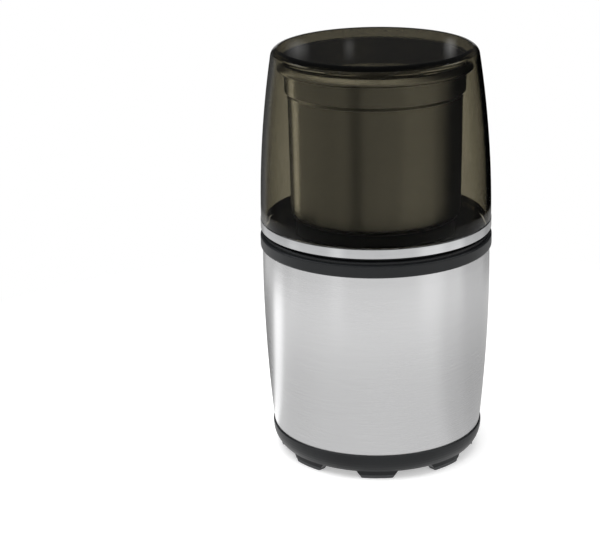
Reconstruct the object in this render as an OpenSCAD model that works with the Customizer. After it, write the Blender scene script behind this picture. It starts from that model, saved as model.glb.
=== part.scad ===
// Electric spice grinder: brushed steel base, lift-out steel bowl and a clear push-down lid.
// Units are millimetres, +Z is up and the foot pads stand on Z = 0.
// The lid, bowl, blade and motor share the Z axis. The front faces -Y.

/* [Base shell] */
// Widest diameter of the steel sleeve
sleeve_d = 115.3; // [112:0.1:119]
// Sheet thickness of the steel sleeve
sleeve_t = 0.6; // [0.4:0.1:0.8]
// Height of the steel that shows between skirt and collar
sleeve_show_h = 94.8; // [92:0.1:110]
// Height of the sleeve's widest line above the skirt
sleeve_belly_h = 81; // [70:1:90]
// Radius of the sleeve's side curve
sleeve_curve_r = 790; // [700:10:1200]
// Height of the black collar band
collar_h = 6.5; // [5:0.1:8]
// How far the collar band stands out from the steel
collar_proud = 0.95; // [0.6:0.05:1.4]
// Height of the recessed lip above the collar band
collar_lip_h = 1.4; // [1:0.1:2]

/* [Skirt and feet] */
// Height of the black skirt
skirt_h = 9.9; // [9:0.1:14]
// Wall of the skirt
skirt_wall = 2.4; // [2:0.1:3]
// How far the skirt draws in at its lower edge
skirt_draft = 3.2; // [2:0.1:3.6]
// Number of feet
foot_count = 8; // [6:1:8]
// Width of a foot where it leaves the skirt
foot_w = 21.3; // [16:0.1:23]
// Height of a foot's plastic leg
leg_h = 2.3; // [2:0.1:4]
// Height of the rubber pad under a leg
pad_h = 1.7; // [1.2:0.1:2.5]
// Radial depth of a foot
foot_depth = 4.4; // [4:0.1:5]

/* [Bottom cover] */
// Diameter of the drum that the mains lead is wound on
spool_d = 60; // [56:1:64]
// Reach of the spool's hooks past the drum
spool_hook = 8; // [6:0.5:9]
// Thickness of the bottom cover
bottom_t = 2; // [1.6:0.1:2.4]
// Bore of the cord gland
gland_bore_d = 6.6; // [6:0.1:7.4]

/* [Lid] */
// Height from the chrome ring's lower edge to the top of the lid
lid_h = 91.6; // [90:0.1:100]
// Wall of the clear lid
dome_wall = 2.2; // [2:0.1:2.4]
// Thickness of the lid's top
dome_top_t = 2.6; // [2:0.1:3]
// Corner radius round the lid's top
dome_corner_r = 4.5; // [3:0.1:5]
// Height of the chrome ring
ring_h = 5.3; // [5:0.1:7]
// Thickness of the chrome ring
ring_t = 1.05; // [0.8:0.05:1.2]
// Downward travel of the lid
press_travel = 3; // [2.5:0.1:3.4]
// Width of a lid tab
tab_w = 12; // [9:0.5:14]
// Thickness of a lid tab
tab_t = 2; // [1.6:0.1:2.4]

/* [Bowl] */
// Room between the bowl's wall and the sleeve's widest line
bowl_room = 14.15; // [13.6:0.05:15]
// Sheet thickness of the bowl
bowl_t = 0.8; // [0.6:0.1:1]
// Height of the bowl's floor above the deck
bowl_foot = 4.1; // [4:0.1:7]
// Widening of the bowl at its step
bowl_step = 1.5; // [1:0.1:1.8]
// Height of the wide band above the step
bowl_band_h = 14.9; // [10:0.1:20]
// Corner radius between the bowl's floor and wall
bowl_corner_r = 3.5; // [3:0.5:6]
// Width of the rolled rim
rim_w = 3.5; // [3:0.1:4]
// How far the black plastic base stands in from the bowl's wall
base_inset = 3.5; // [3.2:0.1:4.5]
// Reach of a bayonet lug past the bowl's base
lug_reach = 4.2; // [3.5:0.1:4.6]
// Angle that the bowl turns to leave its hooks
twist_angle = 35; // [34:1:40]

/* [Blade] */
// Tip to tip length of the blade
blade_l = 62; // [54:1:68]
// Width of the blade at its middle
blade_w = 12; // [10:0.5:14]
// Sheet thickness of the blade
blade_t = 1.5; // [1.2:0.1:1.8]
// Upward bend of the blade's tips
blade_bend = 20; // [10:1:25]
// Diameter of the blade shaft
blade_shaft_d = 6; // [5:0.1:7]

/* [Motor] */
// Diameter of the motor shaft
shaft_d = 6; // [5:0.1:7]
// Height of the lamination stacks
stack_h = 28; // [24:1:30]
// Diameter of the armature
armature_d = 27.8; // [26:0.1:28.4]
// Air gap between the armature and the poles
air_gap = 0.7; // [0.5:0.05:0.9]
// Diameter of the commutator
commutator_d = 18; // [16:0.5:20]
// Diameter of the cooling fan
fan_d = 46; // [40:1:50]
// Number of fan blades
fan_blades = 11; // [9:1:13]
// Number of armature slots
slot_count = 12; // [10:1:14]

/* [Hidden] */
$fn = 96;
nudge = 0.01;

// Clearances
seat = 0.05;            // between pieces that sit together
lid_gap = 0.6;          // lid wall round the deck
slide_gap = 0.3;        // guided sliding pieces
run_gap = 0.04;         // radial running fit of a shaft
turn_gap = 0.3;         // turning piece beside a fixed one
press_spare = 0.2;      // lid ring above the collar at full press
rim_spare = 0.9;        // lid top above the bowl's rim at full press
rim_gap = 1.4;          // bowl rim to the lid wall

// Heights from the table upwards
z_skirt = pad_h + leg_h;
z_steel = z_skirt + skirt_h;
z_collar = z_steel + sleeve_show_h;
z_shoulder = z_collar + collar_h;
z_lip = z_shoulder + collar_lip_h;
deck_rise = 4;
z_deck = z_lip + deck_rise;
z_ring = z_shoulder + press_travel + press_spare;
z_top = z_ring + lid_h;
skirt_lip_h = 1.3;      // skirt lip that covers the sleeve's edge
z_sleeve = z_steel - skirt_lip_h;
z_belly = z_steel + sleeve_belly_h;

// Radii of the shell
body_r = sleeve_d / 2;
function sleeve_r(z) = body_r - pow(z - z_belly, 2) / (2 * sleeve_curve_r);
sleeve_top_r = sleeve_r(z_collar) - sleeve_t;
collar_r = body_r + collar_proud;
ring_r = collar_r - 0.25;
dome_r0 = ring_r - 0.15;            // lid's outer radius just above the ring
dome_in = dome_r0 - dome_wall;      // lid's inner radius at its mouth
lip_r = ring_r - ring_t - slide_gap;
deck_r = dome_in - lid_gap;
skirt_top_r = sleeve_r(z_steel) + 0.7;
skirt_bottom_r = skirt_top_r - skirt_draft;
skirt_in = skirt_bottom_r - skirt_wall;

// Bowl
bowl_r = body_r - bowl_room;
base_r = bowl_r - base_inset;        // black base under the bowl
z_rim = z_top - dome_top_t - press_travel - rim_spare;
z_floor = z_deck + bowl_foot;
z_step = z_rim - bowl_band_h;
band_r = bowl_r + bowl_step;
rim_r = band_r + rim_w;
rim_h = 3.2;

// Lid curve: widest at the ring, drawn in to clear the bowl's rim
z_dome = z_ring + ring_h;
dome_draw = dome_r0 - (rim_r + rim_gap + dome_wall);
function dome_r(z) = dome_r0 - dome_draw * pow((z - z_dome) / (z_rim - z_dome), 2);

// Deck and its well
deck_t = 2.2;
deck_wall = 1.2;
z_deck_foot = z_shoulder - 13.2;
lug_r = base_r + lug_reach;
well_r = lug_r + 1;
well_wall = 2;
z_well = z_shoulder - 9.2;            // floor of the well
well_t = 2.2;
dam_r = 13;                         // bore of the dam round the drive coupling
dam_wall = 2;
dam_h = 4;
hook_count = 3;
hook_w = 40;                        // degrees
hook_t = 2.8;
lug_w = 24;                         // degrees
lug_t = 3;
z_lug = z_well + 4.5;
z_hook = z_lug + lug_t + turn_gap;

// Pusher ring and the lid tabs that stand on it
push_r1 = deck_r - deck_wall - slide_gap;
push_r0 = well_r + well_wall + slide_gap;
push_h = 3;
z_push = z_shoulder - 7.8;            // top of the ring
tab_r1 = deck_r - deck_wall - 0.9;
tab_r0 = tab_r1 - tab_t;
tab_gap = 0.4;
tab_angles = [90, 210, 330];
spring_angles = [30, 150, 270];
spring_wire = 0.5;                  // radius of the spring wire
spring_r = 2.3;
spring_turns = 5;
spring_at = (push_r0 + push_r1) / 2;

// Chassis plate and columns
chassis_t = 3;
z_chassis = z_shoulder - 24.2;        // underside of the plate
z_spring = z_chassis + chassis_t;
column_r = 3.9;
column_at = skirt_in - 5.6;
column_angles = [60, 120, 240, 300];
bolt_r = 2;
screw_r = bolt_r - 0.1;
head_r = 3.4;
head_h = 2.2;
boss_r = 4;
boss_at = well_r - 9.2;
boss_angles = [15, 105, 195, 285];
z_bottom = z_skirt + 10;            // underside of the bottom cover's plate
z_spool = z_skirt - 0.6;            // lowest face of the spool
spool_t = 2;
gland_at = (spool_d / 2 + skirt_in) / 2;

// Motor, hung under the chassis plate
mount_h = 3.5;
bracket_t = 3;
coil_h = 5.2;
coil_t = 4;
z_bracket = z_chassis - mount_h - bracket_t;
z_stack = z_bracket - coil_h - 1.5 - stack_h;
z_commutator = z_stack - 13;
commutator_h = 9.8;
z_lower = z_stack - 20;             // underside of the lower bracket
armature_r = armature_d / 2;
pole_r = armature_r + air_gap;
shoe_t = 2.8;
coil_y0 = pole_r + shoe_t + 0.2;
neck_w = 18;
yoke_y = coil_y0 + coil_t + 0.2;    // inside half width, front to back
yoke_x = yoke_y + 1.2;
yoke_t = 6.5;
yoke_corner = 6;
motor_bolt = [yoke_x + 2.6, yoke_y + 2.6];
shaft_r = shaft_d / 2;
bearing_r = 7;
bearing_h = 6;
cut_reach = 40;                     // reach of a through cut either way
brush_w = 6;
brush_h = 7;
brush_gap = 1.4;                    // commutator to the mouth of a brush holder
holder_l = 19;
holder_wall = 1;
post_l = 10;                        // post under a brush holder

// Drive between motor and blade
coupling_r = 9;
dog_w = 34;                         // degrees
dog_h = 4;
dog_r1 = coupling_r - 0.4;
dog_r0 = 4.2;
z_dog = z_well + 2.2;               // foot of the driving dogs
coupling_t = 4;
disc_t = 3;
neck_l = 9;
blade_shaft_r = blade_shaft_d / 2;
housing_r = 7;
bush_h = 4.5;
z_blade = z_floor + bowl_t + 4.4;

// Switch and capacitor
switch_x = push_r1 - 3.4;           // centre line of the switch and its finger
switch_size = [7, 22, 14];
z_switch = z_chassis - 7;           // top of the switch body
lever_t = 0.6;
finger_y = 9;
lever_y = -9;                       // hinge of the lever
button_y = -2;
button_travel = 1.5;
lever_angle = 10.5;
lever_lift = 4.5;                   // hinge above the switch body
capacitor_size = [8.5, 26.5, 17];

// Radial places that repeat
function polar(r, a) = [r * cos(a), r * sin(a), 0];

// Points of an arc round c
function arc(c, r, a0, a1, n) = [
    for (i = [0 : n]) let(a = a0 + (a1 - a0) * i / n) [c[0] + r * cos(a), c[1] + r * sin(a)]
];

// Left normal of the line from p to q
function side(p, q) = let(d = (q - p) / norm(q - p)) [-d[1], d[0]];

// Mitred left normal of a path at point i
function mitre(path, i) =
    i == 0 ? side(path[0], path[1]) :
    i == len(path) - 1 ? side(path[i - 1], path[i]) :
    let(a = side(path[i - 1], path[i]), m = a + side(path[i], path[i + 1])) m / (m * a);

// Outline of a sheet of thickness t on the left of a path
function sheet(path, t) = concat(path, [
    for (i = [len(path) - 1 : -1 : 0]) path[i] + t * mitre(path, i)
]);

// Ring or tube standing on z
module ring(r_out, r_in, z, h) {
    translate([0, 0, z])
        difference() {
            cylinder(r = r_out, h = h);
            translate([0, 0, -nudge]) cylinder(r = r_in, h = h + 2 * nudge);
        }
}

// Part of a ring between two radii, w degrees wide about angle a
module sector(r_out, r_in, a, w, z, h) {
    translate([0, 0, z])
        rotate([0, 0, a - w / 2])
            rotate_extrude(angle = w)
                translate([r_in, 0]) square([r_out - r_in, h]);
}

// Rod standing on z at polar place r, a
module rod(r, at, a, z, h) {
    translate(polar(at, a) + [0, 0, z]) cylinder(r = r, h = h, $fn = 32);
}

// Box centred in x and y, standing on z
module block(x, y, z, size) {
    translate([x - size[0] / 2, y - size[1] / 2, z]) cube(size);
}

// Rounded rectangle centred on the origin
module round_rect(w, d, r) {
    union() {
        square([w, d - 2 * r], center = true);
        square([w - 2 * r, d], center = true);
        for (x = [-1, 1], y = [-1, 1])
            translate([x * (w / 2 - r), y * (d / 2 - r)]) circle(r = r, $fn = 48);
    }
}

// Coil spring of mean radius r, standing on z
module coil_spring(r, wire, h, turns, steps = 14, sides = 6) {
    n = turns * steps;
    rise = (h - 2 * wire) / n;
    ring_at = function(i) [
        for (k = [0 : sides - 1])
            let(a = 360 * i / steps, b = 360 * k / sides, q = r + wire * cos(b))
                [q * cos(a), q * sin(a), wire + i * rise + wire * sin(b)]
    ];
    points = [for (i = [0 : n]) each ring_at(i)];
    walls = [
        for (i = [0 : n - 1], k = [0 : sides - 1])
            let(p = i * sides, j = (k + 1) % sides)
                [p + k, p + j, p + sides + j, p + sides + k]
    ];
    ends = [
        [for (k = [sides - 1 : -1 : 0]) k],
        [for (k = [0 : sides - 1]) n * sides + k]
    ];
    polyhedron(points = points, faces = concat(walls, ends), convexity = 6);
}

// ---- Lid ----

tab_deg = tab_w / tab_r1 * 180 / PI;
slot_deg = tab_deg + 2 * tab_gap / tab_r1 * 180 / PI;
z_tab = z_push + slide_gap;
z_web = z_deck + press_travel + 0.4;
web_h = 3;
z_mouth = z_ring + 1.6;             // lower edge of the clear wall
dome_steps = 14;

module lid_dome() {
    zc = z_top - dome_corner_r;
    lean = atan(2 * dome_draw * (zc - z_dome) / pow(z_rim - z_dome, 2));
    zk = zc + dome_corner_r * sin(lean);
    in_r = dome_corner_r - dome_wall;
    zi = z_top - dome_top_t - in_r;
    z_end = zi + in_r * sin(lean);
    outer = [for (i = [0 : dome_steps]) let(z = z_dome + (zk - z_dome) * i / dome_steps) [dome_r(z), z]];
    inner = [
        for (i = [dome_steps : -1 : 0])
            let(z = z_dome + (z_end - z_dome) * i / dome_steps) [dome_r(z) - dome_wall, z]
    ];
    profile = concat(
        [[dome_in, z_mouth], [ring_r - ring_t - seat, z_mouth], [ring_r - ring_t - seat, z_dome]],
        outer,
        arc([dome_r(zk) - dome_corner_r * cos(lean), zc], dome_corner_r, lean + 10, 90, 6),
        [[0, z_top], [0, z_top - dome_top_t]],
        arc([dome_r(z_end) - dome_wall - in_r * cos(lean), zi], in_r, 90, lean + 15, 4),
        inner
    );
    color([0.22, 0.21, 0.18, 0.55])
        union() {
            rotate_extrude() polygon(profile);
            for (a = tab_angles) {
                sector(tab_r1, tab_r0, a, tab_deg, z_tab, z_web + web_h - z_tab);
                sector(dome_in + dome_wall / 2, tab_r0 + 0.6, a, tab_deg - 1, z_web, web_h - 0.6);
            }
        }
}

module lid_ring() {
    r0 = ring_r - ring_t;
    bevel = 0.55;
    profile = [
        [r0, z_ring + 0.3], [r0 + 0.3, z_ring], [ring_r - 0.3, z_ring], [ring_r, z_ring + 0.3],
        [ring_r, z_dome - bevel], [dome_r0, z_dome - seat], [r0, z_dome - seat]
    ];
    color("gainsboro") rotate_extrude() polygon(profile);
}

// ---- Bowl ----

bowl_wall_lean = 0.6;               // taper of the bowl's wall towards its floor
lug_angles = [for (i = [0 : hook_count - 1]) 90 + i * 360 / hook_count];
z_base = z_well + 0.5;              // lower edge of the bowl's base
base_wall = 3;
base_top_t = 2.4;
hub_r = dam_r + dam_wall + 1;
gasket_t = 0.8;
flange_r = 11;
flange_t = 1.2;
z_housing = z_floor - 7.5;
nut_h = 2.8;

module bowl_shell() {
    corner = [bowl_r - bowl_wall_lean - bowl_corner_r, z_floor + bowl_corner_r];
    z_curl = z_rim - rim_h;
    wall = concat(
        [[housing_r + seat, z_floor]],
        arc(corner, bowl_corner_r, -90, 0, 8),
        [[bowl_r, z_step - 1.2], [band_r, z_step + 0.6], [band_r, z_curl]]
    );
    curl = concat(
        [[band_r - bowl_t, z_curl - 0.5], [band_r, z_curl - 0.5], [band_r + 0.6, z_curl]],
        arc([rim_r - 1.1, z_curl + 0.4], 1.1, -70, 50, 5),
        [[band_r + 1.2, z_rim - 0.25]],
        arc([band_r - 0.1, z_rim - 0.8], 0.8, 70, 165, 4)
    );
    color("silver")
        rotate_extrude()
            union() {
                polygon(sheet(wall, bowl_t));
                polygon(curl);
            }
}

module bowl_base() {
    corner = [bowl_r - bowl_wall_lean - bowl_corner_r, z_floor + bowl_corner_r];
    r = base_r;
    reach = acos((r - corner[0]) / (bowl_corner_r + seat));
    z_under = z_floor - base_top_t;
    profile = concat(
        [[housing_r + seat, z_floor - seat]],
        arc(corner, bowl_corner_r + seat, -90, -reach, 6),
        [
            [r, z_base + 1], [r - 1, z_base], [r - base_wall, z_base], [r - base_wall, z_under],
            [hub_r + 2, z_under], [hub_r + 2, z_base + 1.5], [hub_r, z_base + 1.5],
            [hub_r, z_under], [housing_r + seat, z_under]
        ]
    );
    color([0.1, 0.1, 0.1])
        union() {
            rotate_extrude() polygon(profile);
            for (a = lug_angles) {
                sector(lug_r, r - 1, a, lug_w, z_lug, lug_t);
                rotate([0, 0, a + 60])
                    translate([hub_r + 1, -1, z_base + 3])
                        cube([r - base_wall - hub_r, 2, z_under - z_base - 2]);
            }
        }
}

module bearing_housing() {
    z_flange = z_floor + bowl_t + gasket_t;
    z_tip = z_blade - 0.7;
    profile = [
        [bush_r + seat, z_housing], [housing_r - 0.5, z_housing], [housing_r, z_housing + 0.5],
        [housing_r, z_flange], [flange_r, z_flange], [flange_r - 0.3, z_flange + flange_t],
        [housing_r + 0.6, z_flange + flange_t + 0.2], [housing_r - 0.3, z_tip],
        [bush_r + seat, z_tip], [bush_r + seat, z_tip - bush_h - seal_t],
        [blade_shaft_r + 0.6, z_tip - bush_h - seal_t],
        [blade_shaft_r + 0.6, z_housing + bush_h], [bush_r + seat, z_housing + bush_h]
    ];
    color("gainsboro") rotate_extrude() polygon(profile);
}

bush_r = blade_shaft_r + 2.2;
seal_t = 0.7;

module housing_nut() {
    color("darkkhaki")
        difference() {
            translate([0, 0, z_floor - base_top_t - nut_h - seat])
                cylinder(r = flange_r, h = nut_h, $fn = 6);
            cylinder(r = housing_r + seat, h = z_floor);
        }
}

module housing_gasket() {
    color([0.2, 0.2, 0.2])
        ring(flange_r - 0.5, housing_r + seat, z_floor + bowl_t + seat / 2, gasket_t - seat);
}

module bowl_bushes() {
    z_tip = z_blade - 0.7;
    color("goldenrod") {
        ring(bush_r, blade_shaft_r + run_gap, z_housing + seat, bush_h - 2 * seat);
        ring(bush_r, blade_shaft_r + run_gap, z_tip - bush_h - seal_t + seat, bush_h - seat);
    }
}

module shaft_seal() {
    color([0.15, 0.15, 0.15])
        ring(bush_r, blade_shaft_r + 0.08, z_blade - 0.7 - seal_t + seat, seal_t - seat);
}

// ---- Blade ----

z_driven = z_dog + dog_h + 0.4;     // underside of the driven coupling's plate

module blade_shaft() {
    color("silver")
        difference() {
            translate([0, 0, z_driven + 0.5])
                cylinder(r = blade_shaft_r, h = z_blade + blade_t + 5 - z_driven - 0.5);
            ring(blade_shaft_r + 1, blade_shaft_r - 0.5, z_driven + coupling_t + 0.1, 0.5);
        }
}

// One wing of the blade towards +X, with a ground edge on its leading side
module blade_wing() {
    half = blade_l / 2;
    flat = half * 0.55;
    waist = blade_w / 2;
    grind = 2.2;
    section = [[-waist, blade_t], [-waist, blade_t - 0.2], [-waist + grind, 0], [waist, 0], [waist, blade_t]];
    tip = waist * 0.7;
    intersection() {
        union() {
            rotate([90, 0, 90]) linear_extrude(flat) polygon(section);
            translate([flat, 0, 0])
                rotate([0, -blade_bend, 0])
                    rotate([90, 0, 90]) translate([0, 0, -nudge]) linear_extrude(half) polygon(section);
        }
        linear_extrude(blade_l)
            polygon(concat(
                [[-1, -waist], [flat * 0.6, -waist]],
                arc([half - tip, -waist * 0.8 + tip], tip, -90, 55, 7),
                [[flat * 0.9, waist * 0.85], [flat * 0.3, waist], [-1, waist]]
            ));
    }
}

module blade() {
    color("silver")
        translate([0, 0, z_blade])
            difference() {
                union() {
                    for (a = [0, 180]) rotate([0, 0, a]) blade_wing();
                    cylinder(r = blade_w / 2, h = blade_t);
                }
                translate([0, 0, -1]) cylinder(r = blade_shaft_r + seat, h = blade_t + 2);
            }
}

module blade_nut() {
    color("silver")
        difference() {
            union() {
                translate([0, 0, z_blade + blade_t + seat])
                    cylinder(r = blade_shaft_r + 2.6, h = 3.6, $fn = 6);
                translate([0, 0, z_blade + blade_t + 3.6])
                    cylinder(r1 = blade_shaft_r + 1.8, r2 = blade_shaft_r + 0.6, h = 2);
            }
            translate([0, 0, z_blade]) cylinder(r = blade_shaft_r + seat, h = blade_t + 5 + seat);
        }
}

module blade_spacer() {
    color("silver") ring(blade_shaft_r + 1.8, blade_shaft_r + seat, z_blade - 0.4, 0.4 - seat);
}

module retaining_ring() {
    color("dimgray")
        difference() {
            ring(blade_shaft_r + 1.6, blade_shaft_r - 0.4, z_driven + coupling_t + 0.15, 0.4);
            block(0, -blade_shaft_r - 1, z_driven + coupling_t, [blade_shaft_r, 3, 1]);
        }
}

module driven_coupling() {
    color([0.12, 0.12, 0.12])
        union() {
            difference() {
                translate([0, 0, z_driven]) cylinder(r = coupling_r, h = coupling_t);
                translate([0, 0, z_driven + 0.5 - seat]) cylinder(r = blade_shaft_r + seat, h = coupling_t);
            }
            for (a = [90, 270]) sector(dog_r1, dog_r0, a, dog_w, z_driven - dog_h, dog_h + nudge);
        }
}

// ---- Base shell ----

sleeve_steps = 16;
spigot_h = 5.4;                     // skirt wall inside the foot of the sleeve
groove_h = 1;                       // how deep the sleeve stands in the collar

module steel_sleeve() {
    z1 = z_collar + groove_h;
    path = [for (i = [0 : sleeve_steps]) let(z = z_sleeve + (z1 - z_sleeve) * i / sleeve_steps) [sleeve_r(z), z]];
    color("silver") rotate_extrude() polygon(sheet(path, sleeve_t));
}

module top_collar() {
    z1 = z_collar + groove_h + seat;
    r_groove = sleeve_r(z_collar) + seat;
    r_in = deck_r + 0.1;
    z_foot = z_deck_foot + 2;
    profile = concat(
        [[r_in, z_foot], [sleeve_top_r - 0.1, z_foot], [sleeve_top_r - 0.1, z1], [r_groove, z1]],
        [[r_groove, z_collar], [collar_r - 0.9, z_collar]],
        arc([collar_r - 1, z_collar + 1], 1, -60, 0, 3),
        arc([collar_r - 0.9, z_shoulder - 0.9], 0.9, 0, 90, 4),
        [[lip_r, z_shoulder], [lip_r, z_lip - 0.4], [lip_r - 0.4, z_lip], [r_in, z_lip]]
    );
    color([0.12, 0.12, 0.12]) rotate_extrude() polygon(profile);
}

module deck() {
    z_under = z_well - well_t;
    profile = [
        [dam_r, z_under], [well_r + well_wall, z_under], [well_r + well_wall, z_deck - deck_t],
        [deck_r - deck_wall, z_deck - deck_t], [deck_r - deck_wall, z_deck_foot],
        [sleeve_top_r - 0.3, z_deck_foot], [sleeve_top_r - 0.3, z_deck_foot + 2],
        [deck_r, z_deck_foot + 2], [deck_r, z_deck - 0.5], [deck_r - 0.5, z_deck],
        [well_r + 0.6, z_deck], [well_r, z_deck - 0.6], [well_r, z_well],
        [dam_r + dam_wall, z_well], [dam_r + dam_wall, z_well + dam_h],
        [dam_r, z_well + dam_h]
    ];
    hook_in = base_r + 0.5;
    stop_w = 4;
    color([0.1, 0.1, 0.1])
        difference() {
            union() {
                rotate_extrude() polygon(profile);
                for (a = lug_angles) {
                    sector(well_r + 1, hook_in, a, hook_w, z_hook, hook_t);
                    sector(well_r + 0.6, hook_in + 0.8, a - (lug_w + stop_w) / 2 - 1, stop_w, z_lug, z_hook - z_lug + 1);
                }
                for (a = boss_angles) rod(boss_r, boss_at, a, z_spring, z_under - z_spring + 1);
            }
            for (a = tab_angles)
                sector(tab_r1 + tab_gap, tab_r0 - tab_gap, a, slot_deg, z_deck - deck_t - 1, deck_t + 2);
            for (a = boss_angles) rod(screw_r + seat, boss_at, a, z_spring - 1, z_under - z_spring);
        }
}

module drive_seal() {
    r = seal_r;
    profile = [
        [shaft_r + 0.25, z_spring + 1.6], [shaft_r + 0.8, z_spring + 0.6], [r - 1.5, z_spring + 0.6],
        [r - 1.5, z_spring + seat], [r, z_spring + seat], [r, z_spring + 3.4],
        [r - 1.5, z_spring + 3.4], [r - 1.5, z_spring + 1.8], [shaft_r + 0.8, z_spring + 2.4]
    ];
    color([0.2, 0.2, 0.2]) rotate_extrude() polygon(profile);
}

seal_r = bearing_r + 3.4;
hanger_t = 2;
hanger_h = 22;
column_foot = z_bottom + bottom_t;

module chassis() {
    rim_r = sleeve_top_r - 0.7;
    hole_r = bearing_r + 2.6;
    color([0.75, 0.75, 0.72])
        difference() {
            union() {
                translate([0, 0, z_chassis]) cylinder(r = rim_r, h = chassis_t);
                ring(rim_r, deck_r - deck_wall, z_chassis + 1, z_deck_foot - z_chassis - 1);
                ring(seal_r + 1.6, seal_r + seat, z_chassis + 1, chassis_t + 2.4);
                for (a = column_angles) {
                    rod(column_r, column_at, a, column_foot, z_chassis - column_foot + 1);
                    rotate([0, 0, a])
                        translate([column_at + column_r - 1, -0.8, column_foot + 22])
                            cube([2.6, 1.6, z_chassis - column_foot - 21]);
                }
                for (a = spring_angles) rod(spring_r - spring_wire - 0.2, spring_at, a, z_chassis + 1, chassis_t + 3);
                for (s = [-1, 1]) hanger(s);
            }
            translate([0, 0, z_chassis - 1]) cylinder(r = hole_r, h = chassis_t + 2);
            for (a = column_angles) rod(screw_r + seat, column_at, a, column_foot - 1, 17);
            for (a = boss_angles) rod(bolt_r, boss_at, a, z_chassis - 1, chassis_t + 2);
            for (x = [-1, 1], y = [-1, 1])
                translate([x * motor_bolt[0], y * motor_bolt[1], z_chassis - 1])
                    cylinder(r = screw_r + seat, h = chassis_t + 2, $fn = 32);
            block(switch_x, finger_y, z_chassis - 1, [finger_w + 2, finger_w + 2, chassis_t + 2]);
        }
}

// Wall that hangs from the chassis plate and carries the switch or the capacitor
module hanger(s) {
    w = s > 0 ? switch_size[1] : capacitor_size[1];
    x = switch_x - switch_size[0] / 2 - hanger_t / 2 - seat;
    block(s * x, 0, z_chassis - hanger_h, [hanger_t, w, hanger_h + 1]);
    for (y = [-1, 1])
        block(s * x - 2, y * (w / 2 - 1), z_chassis - 5, [4, 1.6, 6]);
}

module base_skirt() {
    r_seat = sleeve_r(z_sleeve);
    z1 = z_sleeve + spigot_h;
    ledge_z = z_bottom + bottom_t;
    ledge_r = column_at + column_r + 0.4;
    r_in = skirt_in + 2.6;
    steps = 6;
    edge = [
        for (i = [0 : steps])
            let(t = i / steps)
                [skirt_bottom_r + skirt_draft * (1 - pow(1 - t, 2.5)), z_skirt + (skirt_h - 0.5) * t]
    ];
    profile = concat(
        [[skirt_in, z_skirt]],
        edge,
        [
            [skirt_top_r - 0.3, z_steel], [sleeve_r(z_steel) + seat, z_steel],
            [sleeve_r(z_steel) + seat, z_sleeve - seat],
            [r_seat - sleeve_t - 0.1, z_sleeve - seat], [r_seat - sleeve_t - 0.1, z1],
            [ledge_r, z1], [ledge_r, ledge_z], [skirt_in, ledge_z]
        ]
    );
    color([0.12, 0.12, 0.12])
        union() {
            rotate_extrude() polygon(profile);
            for (i = [0 : foot_count - 1])
                rotate([0, 0, -90 + i * 360 / foot_count])
                    foot(foot_w, leg_h + nudge, pad_h, skirt_bottom_r - 0.6, foot_depth);
        }
}

// Foot block towards +X with tapering sides and a curved outer face
module foot(w, h, z, r_out, depth) {
    taper = 0.7 * h;
    intersection() {
        ring(r_out, r_out - depth, z, h);
        translate([r_out + 1, 0, z])
            rotate([90, 0, -90])
                linear_extrude(depth + 4)
                    polygon([[-w / 2 + taper, 0], [w / 2 - taper, 0], [w / 2, h], [-w / 2, h]]);
    }
}

module foot_pads() {
    w = foot_w - 1.4 * leg_h;
    color([0.3, 0.3, 0.3])
        for (i = [0 : foot_count - 1])
            rotate([0, 0, -90 + i * 360 / foot_count])
                foot(w, pad_h, 0, skirt_bottom_r - 0.9, foot_depth - 0.6);
}

module bottom_cover() {
    drum_r = spool_d / 2;
    drum_wall = 2.4;
    slot_w = 2.4;
    spool_hooks = 4;
    profile = [
        [drum_r - drum_wall, z_spool], [drum_r, z_spool], [drum_r, z_bottom],
        [skirt_in - 0.2, z_bottom], [skirt_in - 0.2, z_bottom + bottom_t - seat],
        [drum_r - drum_wall, z_bottom + bottom_t - seat]
    ];
    color([0.14, 0.14, 0.14])
        difference() {
            union() {
                rotate_extrude() polygon(profile);
                translate([0, 0, z_spool]) cylinder(r = drum_r - 1, h = spool_t);
                for (i = [0 : spool_hooks - 1])
                    sector(drum_r + spool_hook, drum_r - 1, 45 + i * 360 / spool_hooks, 34, z_spool, spool_t);
            }
            for (i = [0 : 11])
                rotate([0, 0, i * 30])
                    translate([drum_r * 0.3, -slot_w / 2, z_spool - 1]) cube([drum_r * 0.5, slot_w, spool_t + 2]);
            for (a = column_angles) rod(bolt_r, column_at, a, z_bottom - 1, bottom_t + 2);
            translate([0, gland_at, z_bottom - 1]) cylinder(r = gland_r + seat, h = bottom_t + 2);
        }
}

gland_r = gland_bore_d / 2 + 1.8;
gland_h = 8;

module cord_gland() {
    bore = gland_bore_d / 2;
    profile = [
        [bore, z_bottom - 1.6], [gland_r + 2, z_bottom - 1.6], [gland_r + 2, z_bottom - seat],
        [gland_r, z_bottom - seat], [gland_r, z_bottom + bottom_t + seat],
        [gland_r + 0.8, z_bottom + bottom_t + seat], [gland_r, z_bottom + bottom_t + 2],
        [gland_r, z_bottom - 1.6 + gland_h], [bore, z_bottom - 1.6 + gland_h]
    ];
    color([0.16, 0.16, 0.16]) translate([0, gland_at, 0]) rotate_extrude() polygon(profile);
}

// ---- Motor stator ----

// One child at each of the four motor bolts
module at_bolts() {
    for (x = [-1, 1], y = [-1, 1])
        translate([x * motor_bolt[0], y * motor_bolt[1], 0]) children();
}

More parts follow.
